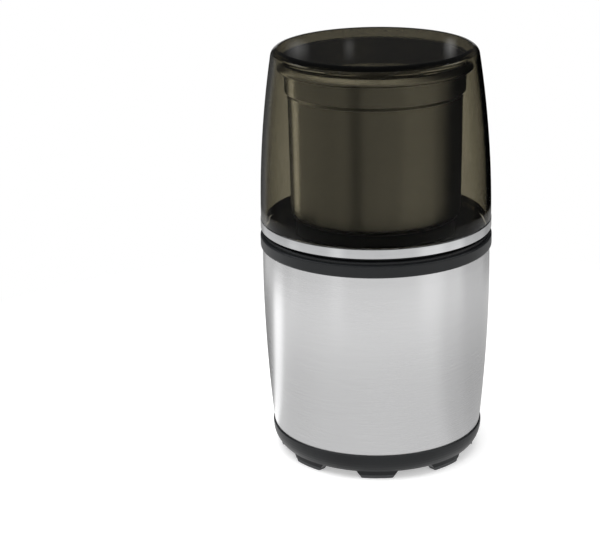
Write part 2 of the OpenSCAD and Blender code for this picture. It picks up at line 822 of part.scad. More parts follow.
module stator_core() {
    color([0.5, 0.5, 0.52])
        translate([0, 0, z_stack])
            linear_extrude(stack_h)
                difference() {
                    union() {
                        difference() {
                            round_rect(2 * (yoke_x + yoke_t), 2 * (yoke_y + yoke_t), yoke_corner);
                            square([2 * yoke_x, 2 * yoke_y], center = true);
                        }
                        square([neck_w, 2 * yoke_y + 2], center = true);
                        intersection() {
                            circle(r = pole_r + shoe_t);
                            union() {
                                polygon([[0, 0], [yoke_y * 1.8, yoke_y], [-yoke_y * 1.8, yoke_y]]);
                                polygon([[0, 0], [-yoke_y * 1.8, -yoke_y], [yoke_y * 1.8, -yoke_y]]);
                            }
                        }
                    }
                    circle(r = pole_r);
                    at_bolts() circle(r = bolt_r, $fn = 32);
                }
}

module field_coils() {
    w = neck_w + 2 * coil_side;
    color("peru")
        for (s = [-1, 1])
            translate([0, s * (coil_y0 + coil_t / 2), z_stack + stack_h / 2])
                rotate([90, 0, 0])
                    translate([0, 0, -coil_t / 2])
                        linear_extrude(coil_t)
                            difference() {
                                round_rect(w, stack_h + 2 * coil_h, 4);
                                square([neck_w + 0.3, stack_h + 0.3], center = true);
                            }
}

coil_side = 5.6;

// Bracket plate with a round cup for a self-aligning bearing
module bracket(z, cup_z, post_z, post_h) {
    cup_r = bearing_r + 2.2;
    difference() {
        union() {
            translate([0, 0, z])
                linear_extrude(bracket_t)
                    difference() {
                        round_rect(2 * (yoke_x + yoke_t), 2 * (yoke_y + yoke_t), yoke_corner);
                        for (x = [-1, 1])
                            translate([x * (yoke_x - 4), 0]) square([10, 2 * yoke_y - 12], center = true);
                    }
            translate([0, 0, cup_z - bearing_h / 2]) cylinder(r = cup_r, h = bearing_h);
            at_bolts() translate([0, 0, post_z]) cylinder(r = 3.6, h = post_h, $fn = 32);
        }
        translate([0, 0, cup_z]) sphere(r = bearing_r + seat);
        translate([0, 0, z - cut_reach]) cylinder(r = bearing_r - 1.6, h = 2 * cut_reach);
        at_bolts() translate([0, 0, z - cut_reach]) cylinder(r = bolt_r, h = 2 * cut_reach, $fn = 32);
    }
}

z_bush_up = z_bracket + bracket_t / 2 + 0.9;
z_bush_low = z_lower + bracket_t / 2;

module upper_bracket() {
    z1 = z_stack + stack_h;
    color([0.55, 0.56, 0.58]) bracket(z_bracket, z_bush_up, z1, z_bracket - z1 + nudge);
}

module lower_bracket() {
    z0 = z_lower + bracket_t;
    color([0.13, 0.13, 0.13]) {
        bracket(z_lower, z_bush_low, z0 - nudge, z_stack - z0 + nudge);
        for (s = [-1, 1])
            block(s * post_at, 0, z0 - nudge, [post_l, brush_w + 1, z_brush - holder_wall - z0]);
    }
}

z_brush = z_commutator + 0.8;
bar_gap = 0.4;                      // between commutator bars
bar_depth = 4;
post_at = commutator_d / 2 + brush_gap + holder_l / 2 + 0.6;

// Sintered bearing with a round outside
module ball_bush(z) {
    color("goldenrod")
        difference() {
            intersection() {
                translate([0, 0, z]) sphere(r = bearing_r);
                translate([0, 0, z - bearing_h / 2]) cylinder(r = bearing_r + 1, h = bearing_h);
            }
            translate([0, 0, z - bearing_h]) cylinder(r = shaft_r + run_gap, h = 2 * bearing_h);
        }
}

module upper_bearing() {
    ball_bush(z_bush_up);
}

module lower_bearing() {
    ball_bush(z_bush_low);
}

module bearing_clips() {
    color("silver") {
        ring(bearing_r + 1.8, shaft_r + 0.8, z_bush_up + bearing_h / 2 + seat, 0.5);
        ring(bearing_r + 1.8, shaft_r + 0.8, z_bush_low - bearing_h / 2 - 0.5 - seat, 0.5);
    }
}

module brush_holders() {
    x0 = commutator_d / 2 + brush_gap;
    wall = holder_wall;
    color("goldenrod")
        for (s = [0, 180])
            rotate([0, 0, s])
                difference() {
                    translate([x0, -brush_w / 2 - wall, z_brush - wall + seat])
                        cube([holder_l, brush_w + 2 * wall, brush_h + 2 * wall]);
                    translate([x0 - 1, -brush_w / 2 - 0.1, z_brush - 0.05])
                        cube([holder_l, brush_w + 0.2, brush_h + 0.2]);
                }
}

brush_l = 11;

module carbon_brushes() {
    color([0.2, 0.2, 0.2])
        for (s = [0, 180])
            rotate([0, 0, s])
                difference() {
                    translate([commutator_d / 2 - 1, -brush_w / 2, z_brush + 0.05])
                        cube([brush_l + 1, brush_w, brush_h]);
                    translate([0, 0, z_brush - 1]) cylinder(r = commutator_d / 2 + 0.1, h = brush_h + 3);
                }
}

module brush_springs() {
    x0 = commutator_d / 2 + brush_l;
    l = commutator_d / 2 + brush_gap + holder_l - holder_wall - x0;
    color("silver")
        for (s = [0, 180])
            rotate([0, 0, s])
                translate([x0, 0, z_brush + brush_h / 2 + seat])
                    rotate([0, 90, 0])
                        coil_spring(1.9, 0.35, l, 5, 12, 6);
}

module motor_mounts() {
    z0 = z_bracket + bracket_t;
    color([0.18, 0.18, 0.18])
        at_bolts()
            difference() {
                translate([0, 0, z0]) cylinder(r = 5, h = mount_h, $fn = 48);
                translate([0, 0, z0 - 1]) cylinder(r = bolt_r, h = mount_h + 2, $fn = 32);
            }
}

// Pan-head screw driven upwards, its head under z
module screw(z, shank) {
    difference() {
        union() {
            translate([0, 0, z - head_h]) cylinder(r = head_r, h = head_h - seat, $fn = 48);
            translate([0, 0, z - 1]) cylinder(r = screw_r, h = shank + 1, $fn = 32);
        }
        for (a = [0, 90])
            rotate([0, 0, a]) translate([-2, -0.4, z - head_h - 1]) cube([4, 0.8, 2.2]);
    }
}

module motor_screws() {
    color("silver") at_bolts() screw(z_lower, z_chassis + chassis_t - z_lower - 0.4);
}

module chassis_screws() {
    color("silver")
        for (a = boss_angles) translate(polar(boss_at, a)) screw(z_chassis, z_well - well_t - z_chassis - 2.2);
}

module bottom_screws() {
    color("silver")
        for (a = column_angles) translate(polar(column_at, a)) screw(z_bottom, bottom_t + 12);
}

// ---- Switch, capacitor and springs ----

finger_w = 3.4;
z_hinge = z_switch + lever_lift;
pin_r = 0.6;
barrel_r = 1.2;
lever_w = 4;
stem_r = 1.2;
ear_t = 1.1;
z_button = z_hinge - lever_t / 2 - slide_gap;

module switch_body() {
    h = switch_size[2];
    color([0.1, 0.1, 0.12])
        difference() {
            union() {
                block(switch_x, 0, z_switch - h, switch_size);
                for (s = [-1, 1])
                    block(switch_x + s * (switch_size[0] - ear_t) / 2, lever_y, z_switch - 1,
                        [ear_t, 2.6, lever_lift + 2.6]);
                translate([switch_x - switch_size[0] / 2 + nudge, lever_y, z_hinge])
                    rotate([0, 90, 0]) cylinder(r = pin_r, h = switch_size[0] - 2 * nudge, $fn = 32);
            }
            translate([switch_x, button_y, z_switch - 7])
                cylinder(r = stem_r + 0.08, h = 9, $fn = 32);
        }
}

module switch_lever() {
    color("silver")
        difference() {
            union() {
                block(switch_x, (finger_y + 1.8 + lever_y) / 2, z_hinge - lever_t / 2,
                    [lever_w, finger_y + 1.8 - lever_y, lever_t]);
                translate([switch_x - lever_w / 2, lever_y, z_hinge])
                    rotate([0, 90, 0]) cylinder(r = barrel_r, h = lever_w, $fn = 32);
            }
            translate([switch_x - lever_w, lever_y, z_hinge])
                rotate([0, 90, 0]) cylinder(r = pin_r + 0.06, h = 2 * lever_w, $fn = 32);
        }
}

module switch_button() {
    color("firebrick")
        translate([switch_x, button_y, z_switch - 4.5])
            cylinder(r = stem_r, h = z_button - z_switch + 4.5, $fn = 32);
}

module switch_terminals() {
    color("goldenrod")
        for (y = [-6, 6])
            difference() {
                block(switch_x, y, z_switch - switch_size[2] - 7, [0.8, 4.8, 7]);
                translate([switch_x - 2, y, z_switch - switch_size[2] - 4.5])
                    rotate([0, 90, 0]) cylinder(r = 0.9, h = 4, $fn = 24);
            }
}

module capacitor() {
    x = -(switch_x - switch_size[0] / 2 - hanger_t - seat) + capacitor_size[0] / 2 + seat;
    z = z_chassis - hanger_h + 1;
    color("goldenrod") {
        block(x, 0, z, [capacitor_size[0], capacitor_size[1], capacitor_size[2]]);
        for (y = [-10, 10])
            translate([x, y, z - 5]) cylinder(r = 0.4, h = 5 + nudge, $fn = 16);
    }
}

module return_springs() {
    h = z_push - push_h - z_spring - seat;
    color("silver")
        for (a = spring_angles)
            translate(polar(spring_at, a) + [0, 0, z_spring])
                coil_spring(spring_r, spring_wire, h, spring_turns, 14, 6);
}

module pusher_ring() {
    z0 = z_push - push_h;
    z_finger = z_hinge + lever_t / 2 + slide_gap;
    pocket_deg = slot_deg + 2;
    color([0.9, 0.9, 0.88])
        difference() {
            union() {
                ring(push_r1, push_r0, z0, push_h);
                block(switch_x, finger_y, z_finger, [finger_w, finger_w, z0 - z_finger + 1]);
                block(switch_x, finger_y - finger_w / 2 - 1, z0 - 3, [1.2, 3, 4]);
            }
            for (a = tab_angles)
                sector(tab_r1 + tab_gap, tab_r0 - tab_gap, a, pocket_deg, z_push - 0.6, 1);
        }
}

// ---- Rotor ----

z_fan = z_bush_low - bearing_h / 2 - 9.2;
fan_h = 7;
armature_bar = 1.3;

module motor_shaft() {
    top = z_dog + 0.4;
    color("silver")
        union() {
            translate([0, 0, z_fan - 0.8]) cylinder(r = shaft_r, h = top - z_fan + 0.8 - 0.6);
            translate([0, 0, top - 0.6 - nudge]) cylinder(r1 = shaft_r, r2 = shaft_r - 0.6, h = 0.6);
        }
}

module armature_core() {
    slot_at = armature_r - 3.2;
    color([0.45, 0.45, 0.48])
        translate([0, 0, z_stack])
            linear_extrude(stack_h)
                difference() {
                    circle(r = armature_r);
                    circle(r = shaft_r + seat);
                    for (i = [0 : slot_count - 1])
                        rotate(i * 360 / slot_count)
                            union() {
                                translate([slot_at, 0]) circle(r = 1.7, $fn = 32);
                                translate([slot_at, -0.7]) square([5, 1.4]);
                            }
                }
}

module armature_windings() {
    slot_at = armature_r - 3.2;
    turn_r = armature_r - 1.2;
    low = [
        [shaft_r + 0.6, z_stack - seat], [shaft_r + 0.6, z_stack - 2.4], [turn_r - 3, z_stack - 2.4],
        [turn_r, z_stack - 1.2], [turn_r, z_stack - seat]
    ];
    z1 = z_stack + stack_h;
    high = [
        [shaft_r + 0.6, z1 + seat], [turn_r, z1 + seat], [turn_r, z1 + 2.4], [turn_r - 3, z1 + 4],
        [shaft_r + 1.5, z1 + 4]
    ];
    color("peru")
        union() {
            rotate_extrude() polygon(low);
            rotate_extrude() polygon(high);
            for (i = [0 : slot_count - 1])
                rod(armature_bar, slot_at, i * 360 / slot_count, z_stack - 1, stack_h + 2);
        }
}

module commutator() {
    r = commutator_d / 2;
    color("peru")
        difference() {
            union() {
                ring(r, shaft_r + seat, z_commutator, commutator_h - 1.6);
                ring(r + 1, shaft_r + seat, z_commutator + commutator_h - 1.6 - nudge, 1.6);
            }
            for (i = [0 : slot_count - 1])
                rotate([0, 0, (i + 0.5) * 360 / slot_count])
                    translate([r - 1, -bar_gap / 2, z_commutator - 1])
                        cube([bar_depth, bar_gap, commutator_h + 2]);
        }
}

module cooling_fan() {
    r = fan_d / 2;
    hub = 6;
    plate_t = 1.4;
    color([0.2, 0.2, 0.22])
        difference() {
            union() {
                translate([0, 0, z_fan + fan_h - plate_t]) cylinder(r = r, h = plate_t);
                translate([0, 0, z_fan]) cylinder(r = hub, h = fan_h);
                for (i = [0 : fan_blades - 1])
                    rotate([0, 0, i * 360 / fan_blades])
                        translate([0, 0, z_fan])
                            linear_extrude(fan_h - plate_t / 2)
                                polygon(sheet(arc([hub - 1, 12], 12, -90, -20, 5) * (r - 1) / (hub + 11), 1));
            }
            translate([0, 0, z_fan - 1]) cylinder(r = shaft_r + seat, h = fan_h + 2);
        }
}

module drive_coupling() {
    color([0.85, 0.85, 0.82])
        difference() {
            union() {
                translate([0, 0, z_dog - disc_t]) cylinder(r = coupling_r, h = disc_t);
                translate([0, 0, z_dog - neck_l]) cylinder(r = shaft_r + 3, h = neck_l - disc_t + 1);
                for (a = [0, 180]) sector(dog_r1, dog_r0, a, dog_w, z_dog - nudge, dog_h + nudge);
            }
            translate([0, 0, z_dog - neck_l - 1]) cylinder(r = shaft_r + seat, h = neck_l + 1.5);
            translate([0, 0, z_dog]) cylinder(r = shaft_r + seat, h = 1);
        }
}

lid_dome();
lid_ring();
bowl_shell();
bowl_base();
bearing_housing();
housing_nut();
housing_gasket();
bowl_bushes();
shaft_seal();
blade_shaft();
blade();
blade_nut();
blade_spacer();
retaining_ring();
driven_coupling();
steel_sleeve();
top_collar();
deck();
drive_seal();
chassis();
base_skirt();
bottom_cover();
foot_pads();
cord_gland();
stator_core();
field_coils();
upper_bracket();
lower_bracket();
upper_bearing();
lower_bearing();
bearing_clips();
brush_holders();
carbon_brushes();
brush_springs();
motor_mounts();
motor_screws();
chassis_screws();
bottom_screws();
switch_body();
switch_terminals();
capacitor();
return_springs();
motor_shaft();
armature_core();
armature_windings();
commutator();
cooling_fan();
drive_coupling();
pusher_ring();
switch_lever();
switch_button();
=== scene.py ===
"""Electric spice grinder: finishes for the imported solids, fine trim, studio and camera.

Lengths are in metres, Z is up and the front looks towards -Y.
"""

import logging
import math
from dataclasses import dataclass, field
from enum import Enum
from typing import Optional, Sequence, Union

import bmesh
import bpy
from mathutils import Matrix, Vector


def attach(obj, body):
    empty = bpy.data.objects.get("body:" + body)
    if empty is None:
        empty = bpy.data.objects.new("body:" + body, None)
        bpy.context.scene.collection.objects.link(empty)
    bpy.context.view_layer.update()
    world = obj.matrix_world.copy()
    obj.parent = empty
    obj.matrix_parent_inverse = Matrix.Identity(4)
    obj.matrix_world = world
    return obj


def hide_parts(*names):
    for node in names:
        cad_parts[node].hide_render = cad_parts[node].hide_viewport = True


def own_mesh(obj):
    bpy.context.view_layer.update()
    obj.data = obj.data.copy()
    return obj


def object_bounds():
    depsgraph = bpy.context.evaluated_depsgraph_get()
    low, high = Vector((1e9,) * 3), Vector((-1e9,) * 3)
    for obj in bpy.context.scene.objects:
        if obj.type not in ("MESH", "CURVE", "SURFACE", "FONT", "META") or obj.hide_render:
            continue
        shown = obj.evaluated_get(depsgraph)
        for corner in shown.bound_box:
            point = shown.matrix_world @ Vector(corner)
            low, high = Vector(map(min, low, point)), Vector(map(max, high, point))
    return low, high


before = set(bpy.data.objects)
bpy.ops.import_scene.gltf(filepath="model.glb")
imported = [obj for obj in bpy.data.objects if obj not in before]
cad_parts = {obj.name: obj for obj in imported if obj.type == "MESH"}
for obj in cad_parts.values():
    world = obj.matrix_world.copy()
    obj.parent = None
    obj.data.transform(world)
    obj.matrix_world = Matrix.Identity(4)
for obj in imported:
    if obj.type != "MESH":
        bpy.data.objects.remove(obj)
CAD_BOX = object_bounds()

log = logging.getLogger("grinder")
logging.basicConfig(level=logging.INFO, format="%(name)s: %(message)s")

MM = 0.001
WAVE = 0.314  # pitch of a Wave texture's bands at scale 1
TURN_RADIUS = 50.0 * MM  # radius at which textures that run round a part keep their scale
Colour = tuple[float, float, float]
Socket = bpy.types.NodeSocket
Link = Union[float, Sequence[float], Socket]


# ---------------------------------------------------------------- node graphs


class Graph:
    """The node tree of one material or of the world, with short calls that add nodes and join them."""

    def __init__(self, tree: bpy.types.NodeTree) -> None:
        """Empties a node tree and takes it over.

        Args:
            tree: The node tree to fill.
        """
        self.tree = tree
        self.out: Optional[bpy.types.Node] = None
        tree.nodes.clear()

    def add(self, kind: str, **inputs: Link) -> bpy.types.Node:
        """Adds a node.

        Args:
            kind: The node's type, without the leading ShaderNode.
            inputs: Input sockets by name, underscores for spaces: a plain value is set and an output is linked.

        Returns:
            The new node.
        """
        node = self.tree.nodes.new("ShaderNode" + kind)
        for name, value in inputs.items():
            self.feed(node.inputs[name.replace("_", " ")], value)
        return node

    def feed(self, socket: Socket, value: Link) -> None:
        """Sets an input socket to a value, or links an output to it.

        Args:
            socket: The input.
            value: The number, vector or colour to set, or the output to link.
        """
        if isinstance(value, Socket):
            self.tree.links.new(value, socket)
        elif socket.type == "RGBA" and len(value) == 3:
            socket.default_value = (*value, 1.0)
        else:
            socket.default_value = value

    def calc(self, operation: str, *terms: Link) -> Socket:
        """Does one step of arithmetic.

        Args:
            operation: The Math node's operation.
            terms: Its operands, in order.

        Returns:
            The result's socket.
        """
        node = self.add("Math")
        node.operation = operation
        for socket, term in zip(node.inputs, terms):
            self.feed(socket, term)
        return node.outputs[0]

    def place(self) -> Socket:
        """Returns the point's place on the object, in metres."""
        return self.add("TexCoord").outputs["Object"]

    def unrolled(self, along: float, upward: float, outward: float = 0.0) -> Socket:
        """Unrolls the surface about the upright axis, so that a texture can run round a turned part.

        Args:
            along: Scale of the length round the axis, per metre at TURN_RADIUS.
            upward: Scale of the height, per metre.
            outward: Scale of the distance from the axis, per metre.

        Returns:
            A vector socket of length round, height and distance.
        """
        split = self.add("SeparateXYZ", Vector=self.place()).outputs
        x, y, z = split[0], split[1], split[2]
        away = self.calc("SQRT", self.calc("ADD", self.calc("MULTIPLY", x, x), self.calc("MULTIPLY", y, y)))
        turn = self.calc("MULTIPLY", self.azimuth(split), TURN_RADIUS * along)
        return self.add("CombineXYZ", X=turn, Y=self.calc("MULTIPLY", z, upward),
                        Z=self.calc("MULTIPLY", away, outward)).outputs[0]

    def noise(self, vector: Socket, scale: float, detail: float = 2.0, rough: float = 0.5) -> Socket:
        """Adds a noise texture.

        Args:
            vector: Where the texture is read.
            scale: Its scale.
            detail: Number of octaves.
            rough: Share of the finer octaves.

        Returns:
            The noise value, about 0.5 on average.
        """
        return self.add("TexNoise", Vector=vector, Scale=scale, Detail=detail, Roughness=rough).outputs[0]

    def spread(self, value: Socket, low: float, high: float, start: float = 0.3, end: float = 0.7) -> Socket:
        """Maps a value from one range to another, held at its ends.

        Args:
            value: The value to map.
            low: What the start becomes.
            high: What the end becomes.
            start: Start of the range that is read.
            end: End of that range.

        Returns:
            The mapped value.
        """
        node = self.add("MapRange", Value=value, From_Min=start, From_Max=end, To_Min=low, To_Max=high)
        return node.outputs[0]

    def band(self, value: Socket, ends: Sequence[float]) -> Socket:
        """Makes a switch that is on in a band of values, with soft ends.

        Args:
            value: The value to read.
            ends: Start and end of the rise, then start and end of the fall.

        Returns:
            1 inside the band and 0 outside it.
        """
        rise, full, fall, gone = ends
        return self.calc("MULTIPLY", self.spread(value, 0.0, 1.0, rise, full), self.spread(value, 1.0, 0.0, fall, gone))

    def azimuth(self, split: Sequence[Socket]) -> Socket:
        """Returns the angle round the upright axis from the front, to the right, in radians."""
        return self.calc("ARCTAN2", split[0], self.calc("MULTIPLY", split[1], -1.0))

    def mix(self, share: Link, first: Link, second: Link) -> Socket:
        """Mixes two colours.

        Args:
            share: Share of the second colour.
            first: The first colour.
            second: The second colour.

        Returns:
            The mixed colour.
        """
        node = self.tree.nodes.new("ShaderNodeMix")
        node.data_type = "RGBA"
        self.feed(node.inputs["Factor"], share)
        self.feed(node.inputs[6], first)
        self.feed(node.inputs[7], second)
        return node.outputs[2]

    def blend(self, share: Socket, first: Socket, second: Socket) -> Socket:
        """Mixes two shaders.

        Args:
            share: Share of the second shader.
            first: The first shader.
            second: The second shader.

        Returns:
            The mixed shader.
        """
        node = self.tree.nodes.new("ShaderNodeMixShader")
        for socket, value in zip(node.inputs, (share, first, second)):
            self.feed(socket, value)
        return node.outputs[0]

    def bump(self, height: Socket, depth: float, strength: float = 1.0, normal: Optional[Socket] = None) -> Socket:
        """Turns a height into a normal.

        Args:
            height: The height, 0 to 1.
            depth: The depth that 1 stands for, in metres.
            strength: Strength of the relief.
            normal: The normal to start from.

        Returns:
            The new normal.
        """
        node = self.add("Bump", Height=height, Distance=depth, Strength=strength)
        if normal is not None:
            self.feed(node.inputs["Normal"], normal)
        return node.outputs[0]

    def softened(self, radius: float) -> Socket:
        """Returns a normal that rounds sharp edges by the given radius, in metres."""
        node = self.add("Bevel", Radius=radius)
        node.samples = 4
        return node.outputs[0]


def shade(colour: Colour, factor: float) -> Colour:
    """Returns a colour made lighter or darker by a factor."""
    return tuple(min(1.0, part * factor) for part in colour)


# ------------------------------------------------------------------- finishes


@dataclass(frozen=True)
class Finish:
    """What all finishes share.

    Attributes:
        name: The material's name.
        colour: Its plain colour, linear.
        roughness: Its mean roughness.
        edge: Radius by which sharp edges are softened, in metres.
        slow: Scale of the slow changes over a face, per metre.
    """

    name: str
    colour: Colour
    roughness: float = 0.4
    edge: float = 0.15 * MM
    slow: float = 60.0

    def material(self) -> bpy.types.Material:
        """Makes the material once and hands the same one out after that.

        Returns:
            The material.
        """
        made = bpy.data.materials.get(self.name)
        if made is None or not made.get("finished"):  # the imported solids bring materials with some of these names
            made = bpy.data.materials.new(self.name)
            made.use_nodes = True
            graph = Graph(made.node_tree)
            shader = graph.add("BsdfPrincipled")
            graph.out = graph.add("OutputMaterial", Surface=shader.outputs[0])
            self.dress(graph, shader)
            made["finished"] = True
            log.info("finish %s", self.name)
        return made

    def dress(self, graph: Graph, shader: bpy.types.Node) -> None:
        """Fills in the shader of this finish.

        Args:
            graph: The material's graph.
            shader: Its Principled shader.
        """
        raise NotImplementedError


@dataclass(frozen=True)
class Moulded(Finish):
    """Moulded plastic or rubber: a fine grain, slow changes of gloss, and dust that lightens it slightly.

    Attributes:
        grain: Grain size, in metres.
        depth: Grain depth, in metres.
        dust: Share of the lighter tone.
        gloss: Specular level.
        drift: How much the tone changes over a face.
    """

    slow: float = 35.0
    grain: float = 0.4 * MM
    depth: float = 0.01 * MM
    dust: float = 0.25
    gloss: float = 0.5
    drift: float = 0.1

    def dress(self, graph: Graph, shader: bpy.types.Node) -> None:
        """See Finish.dress."""
        place = graph.place()
        slow = graph.noise(place, self.slow, 3.0)
        fine = graph.noise(place, 1.0 / self.grain, 3.0, 0.6)
        tone = graph.mix(graph.spread(slow, 0.0, 1.0), shade(self.colour, 1.0 - self.drift),
                         shade(self.colour, 1.0 + self.drift + self.dust))
        graph.feed(shader.inputs["Base Color"], tone)
        graph.feed(shader.inputs["Roughness"], graph.spread(slow, self.roughness * 0.9, self.roughness * 1.12))
        shader.inputs["Specular IOR Level"].default_value = self.gloss
        graph.feed(shader.inputs["Normal"], graph.bump(fine, self.depth, 0.6, graph.softened(self.edge)))


@dataclass(frozen=True)
class Brushed(Finish):
    """Metal brushed or turned round the upright axis.

    Attributes:
        line: Width of one brush line, in metres.
        depth: Depth of the lines, in metres.
        stretch: Length of a line over its width.
        pull: Anisotropy of the gloss.
        contrast: How much the lines differ in tone.
        sheen: How much they differ in roughness.
        inner: How much rougher the faces towards the axis are.
        swap: Half the depth over which outer faces give way to inner ones, in metres.
        bands: Scales of the wide bands along and across the lines, per metre.
        drift: How much the roughness changes over a face.
    """

    slow: float = 18.0
    line: float = 0.12 * MM
    depth: float = 0.004 * MM
    stretch: float = 120.0
    pull: float = 0.6
    contrast: float = 0.12
    sheen: float = 0.04
    inner: float = 0.0
    swap: float = 4.0 * MM
    bands: tuple[float, float] = (25.0, 900.0)
    drift: float = 0.02

    def dress(self, graph: Graph, shader: bpy.types.Node) -> None:
        """See Finish.dress."""
        per = 1.0 / self.line
        lines = graph.noise(graph.unrolled(per / self.stretch, per, per), 1.0, 3.0, 0.65)
        wide = graph.noise(graph.unrolled(*self.bands, self.bands[1]), 1.0, 2.0)
        slow = graph.noise(graph.place(), self.slow, 2.0)
        tone = graph.mix(graph.spread(lines, 0.0, 1.0, 0.25, 0.75), shade(self.colour, 1.0 - self.contrast),
                         shade(self.colour, 1.0 + self.contrast))
        tone = graph.mix(graph.spread(wide, 0.0, 0.5), tone, self.colour)
        graph.feed(shader.inputs["Base Color"], tone)
        shader.inputs["Metallic"].default_value = 1.0
        rough = graph.calc("ADD", graph.spread(lines, -self.sheen, self.sheen),
                           graph.spread(slow, -self.drift, self.drift))
        outward = graph.add("VectorMath", Vector=graph.place())
        outward.operation = "DOT_PRODUCT"
        graph.feed(outward.inputs[1], graph.add("TexCoord").outputs["Normal"])
        inside = graph.spread(outward.outputs["Value"], self.inner, 0.0, -self.swap, self.swap)
        rough = graph.calc("ADD", rough, inside)
        graph.feed(shader.inputs["Roughness"], graph.calc("ADD", rough, self.roughness))
        shader.inputs["Anisotropic"].default_value = self.pull
        shader.inputs["Anisotropic Rotation"].default_value = 0.25  # a quarter turn: gloss runs across the lines
        tangent = graph.add("Tangent")
        tangent.direction_type = "RADIAL"
        tangent.axis = "Z"
        graph.feed(shader.inputs["Tangent"], tangent.outputs[0])
        graph.feed(shader.inputs["Normal"], graph.bump(lines, self.depth, 0.5, graph.softened(self.edge)))


@dataclass(frozen=True)
class Plated(Finish):
    """Polished or plated metal, with faint handling marks.

    Attributes:
        wave: Depth of the slow waviness, in metres.
        marks: How much the marks add to the roughness.
        wipes: Scales of the marks along and across the way that they were wiped, per metre.
    """

    wave: float = 0.01 * MM
    marks: float = 0.06
    wipes: tuple[float, float] = (60.0, 2500.0)

    def dress(self, graph: Graph, shader: bpy.types.Node) -> None:
        """See Finish.dress."""
        place = graph.place()
        slow = graph.noise(place, self.slow, 2.0)
        fine = graph.noise(graph.unrolled(*self.wipes, self.wipes[1]), 1.0, 3.0)
        graph.feed(shader.inputs["Base Color"],
                   graph.mix(graph.spread(slow, 0.0, 1.0), shade(self.colour, 0.96), shade(self.colour, 1.03)))
        shader.inputs["Metallic"].default_value = 1.0
        graph.feed(shader.inputs["Roughness"], graph.spread(fine, self.roughness, self.roughness + self.marks))
        graph.feed(shader.inputs["Normal"], graph.bump(slow, self.wave, 0.4, graph.softened(self.edge)))


@dataclass(frozen=True)
class Smoked(Finish):
    """Clear plastic tinted right through, so that it darkens with the length of the way through it.

    Attributes:
        wall: Wall thickness at which the plastic lets its colour through, in metres.
        index: Index of refraction.
        glare: Share of the plain reflection that is kept.
        haze: How much fine scuffs add to the roughness.
        dust: Share of the light that dust on the faces scatters.
        scuff: Scale of the scuffs, per metre.
        ripple: Depth of the slow ripples left by the mould, in metres.
    """

    slow: float = 22.0
    wall: float = 2.2 * MM
    index: float = 1.49
    glare: float = 0.04
    haze: float = 0.012
    dust: float = 0.002
    scuff: float = 420.0
    ripple: float = 0.02 * MM

    def dress(self, graph: Graph, shader: bpy.types.Node) -> None:
        """See Finish.dress."""
        place = graph.place()
        slow = graph.noise(place, self.slow, 2.0)
        scuffs = graph.noise(place, self.scuff, 4.0, 0.7)
        graph.feed(shader.inputs["Base Color"],
                   graph.mix(graph.spread(slow, 0.0, 1.0), (0.94, 0.94, 0.93), (1.0, 1.0, 1.0)))
        loss = [-math.log(part) / self.wall for part in self.colour]
        density = max(loss) * 1.1  # a little over the largest loss, so that no part of the tint is 0
        tint = tuple(1.0 - part / density for part in loss)
        inside = graph.add("VolumeAbsorption", Color=tint, Density=density)
        graph.feed(graph.out.inputs["Volume"], inside.outputs[0])
        shader.inputs["Transmission Weight"].default_value = 1.0 - self.dust
        shader.inputs["IOR"].default_value = self.index
        shader.inputs["Specular Tint"].default_value = (self.glare, self.glare, self.glare, 1.0)
        graph.feed(shader.inputs["Roughness"],
                   graph.spread(scuffs, self.roughness, self.roughness + self.haze, 0.55, 0.8))
        graph.feed(shader.inputs["Normal"], graph.bump(slow, self.ripple, 0.2))


class Lay(Enum):
    """Which way the wires of a winding run; the value is the axis that they are stacked along."""

    ROUND = "Z"
    UPRIGHT = "X"


@dataclass(frozen=True)
class Wound(Finish):
    """Enamelled wire laid side by side, with painted shade in the grooves between the wires.

    Attributes:
        wire: Pitch of the wires, in metres.
        lay: Which way the wires run.
        metal: Metallic share.
    """

    slow: float = 160.0
    wire: float = 0.45 * MM
    lay: Lay = Lay.ROUND
    metal: float = 0.85

    def dress(self, graph: Graph, shader: bpy.types.Node) -> None:
        """See Finish.dress."""
        wave = graph.add("TexWave", Vector=graph.place(), Scale=WAVE / self.wire, Distortion=1.2, Detail=2.0)
        wave.wave_type = "BANDS"
        wave.bands_direction = self.lay.value
        strand_and_shade = wave.outputs["Fac"]
        slow = graph.noise(graph.place(), self.slow, 3.0)
        # painted shade: each wire falls from its own colour in the middle to about a third of it at its sides, standing
        # in for the shade in the grooves
        tone = graph.mix(strand_and_shade, shade(self.colour, 0.35), self.colour)
        graph.feed(shader.inputs["Base Color"], graph.mix(graph.spread(slow, 0.0, 0.4), tone, shade(self.colour, 0.6)))
        shader.inputs["Metallic"].default_value = self.metal
        graph.feed(shader.inputs["Roughness"], graph.spread(slow, self.roughness, self.roughness + 0.15))
        graph.feed(shader.inputs["Normal"], graph.bump(strand_and_shade, self.wire * 0.4, 0.9))


@dataclass(frozen=True)
class Stacked(Finish):
    """Stamped steel sheets in a stack, their edges outward.

    Attributes:
        sheet: Thickness of one sheet, in metres.
        rust: Colour of the thin rust on the edges.
        metal: Metallic share.
    """

    slow: float = 300.0
    sheet: float = 0.5 * MM
    rust: Colour = (0.11, 0.07, 0.045)
    metal: float = 0.9

    def dress(self, graph: Graph, shader: bpy.types.Node) -> None:
        """See Finish.dress."""
        wave = graph.add("TexWave", Vector=graph.place(), Scale=WAVE / self.sheet)
        wave.bands_direction = "Z"
        edge = wave.outputs["Fac"]
        rust = graph.noise(graph.place(), self.slow, 4.0, 0.6)
        tone = graph.mix(graph.spread(edge, 0.0, 1.0, 0.0, 0.4), shade(self.colour, 0.35), self.colour)
        graph.feed(shader.inputs["Base Color"], graph.mix(graph.spread(rust, 0.0, 0.35), tone, self.rust))
        shader.inputs["Metallic"].default_value = self.metal
        graph.feed(shader.inputs["Roughness"], graph.spread(rust, self.roughness, self.roughness + 0.2))
        graph.feed(shader.inputs["Normal"], graph.bump(edge, self.sheet * 0.15, 0.7, graph.softened(self.edge)))


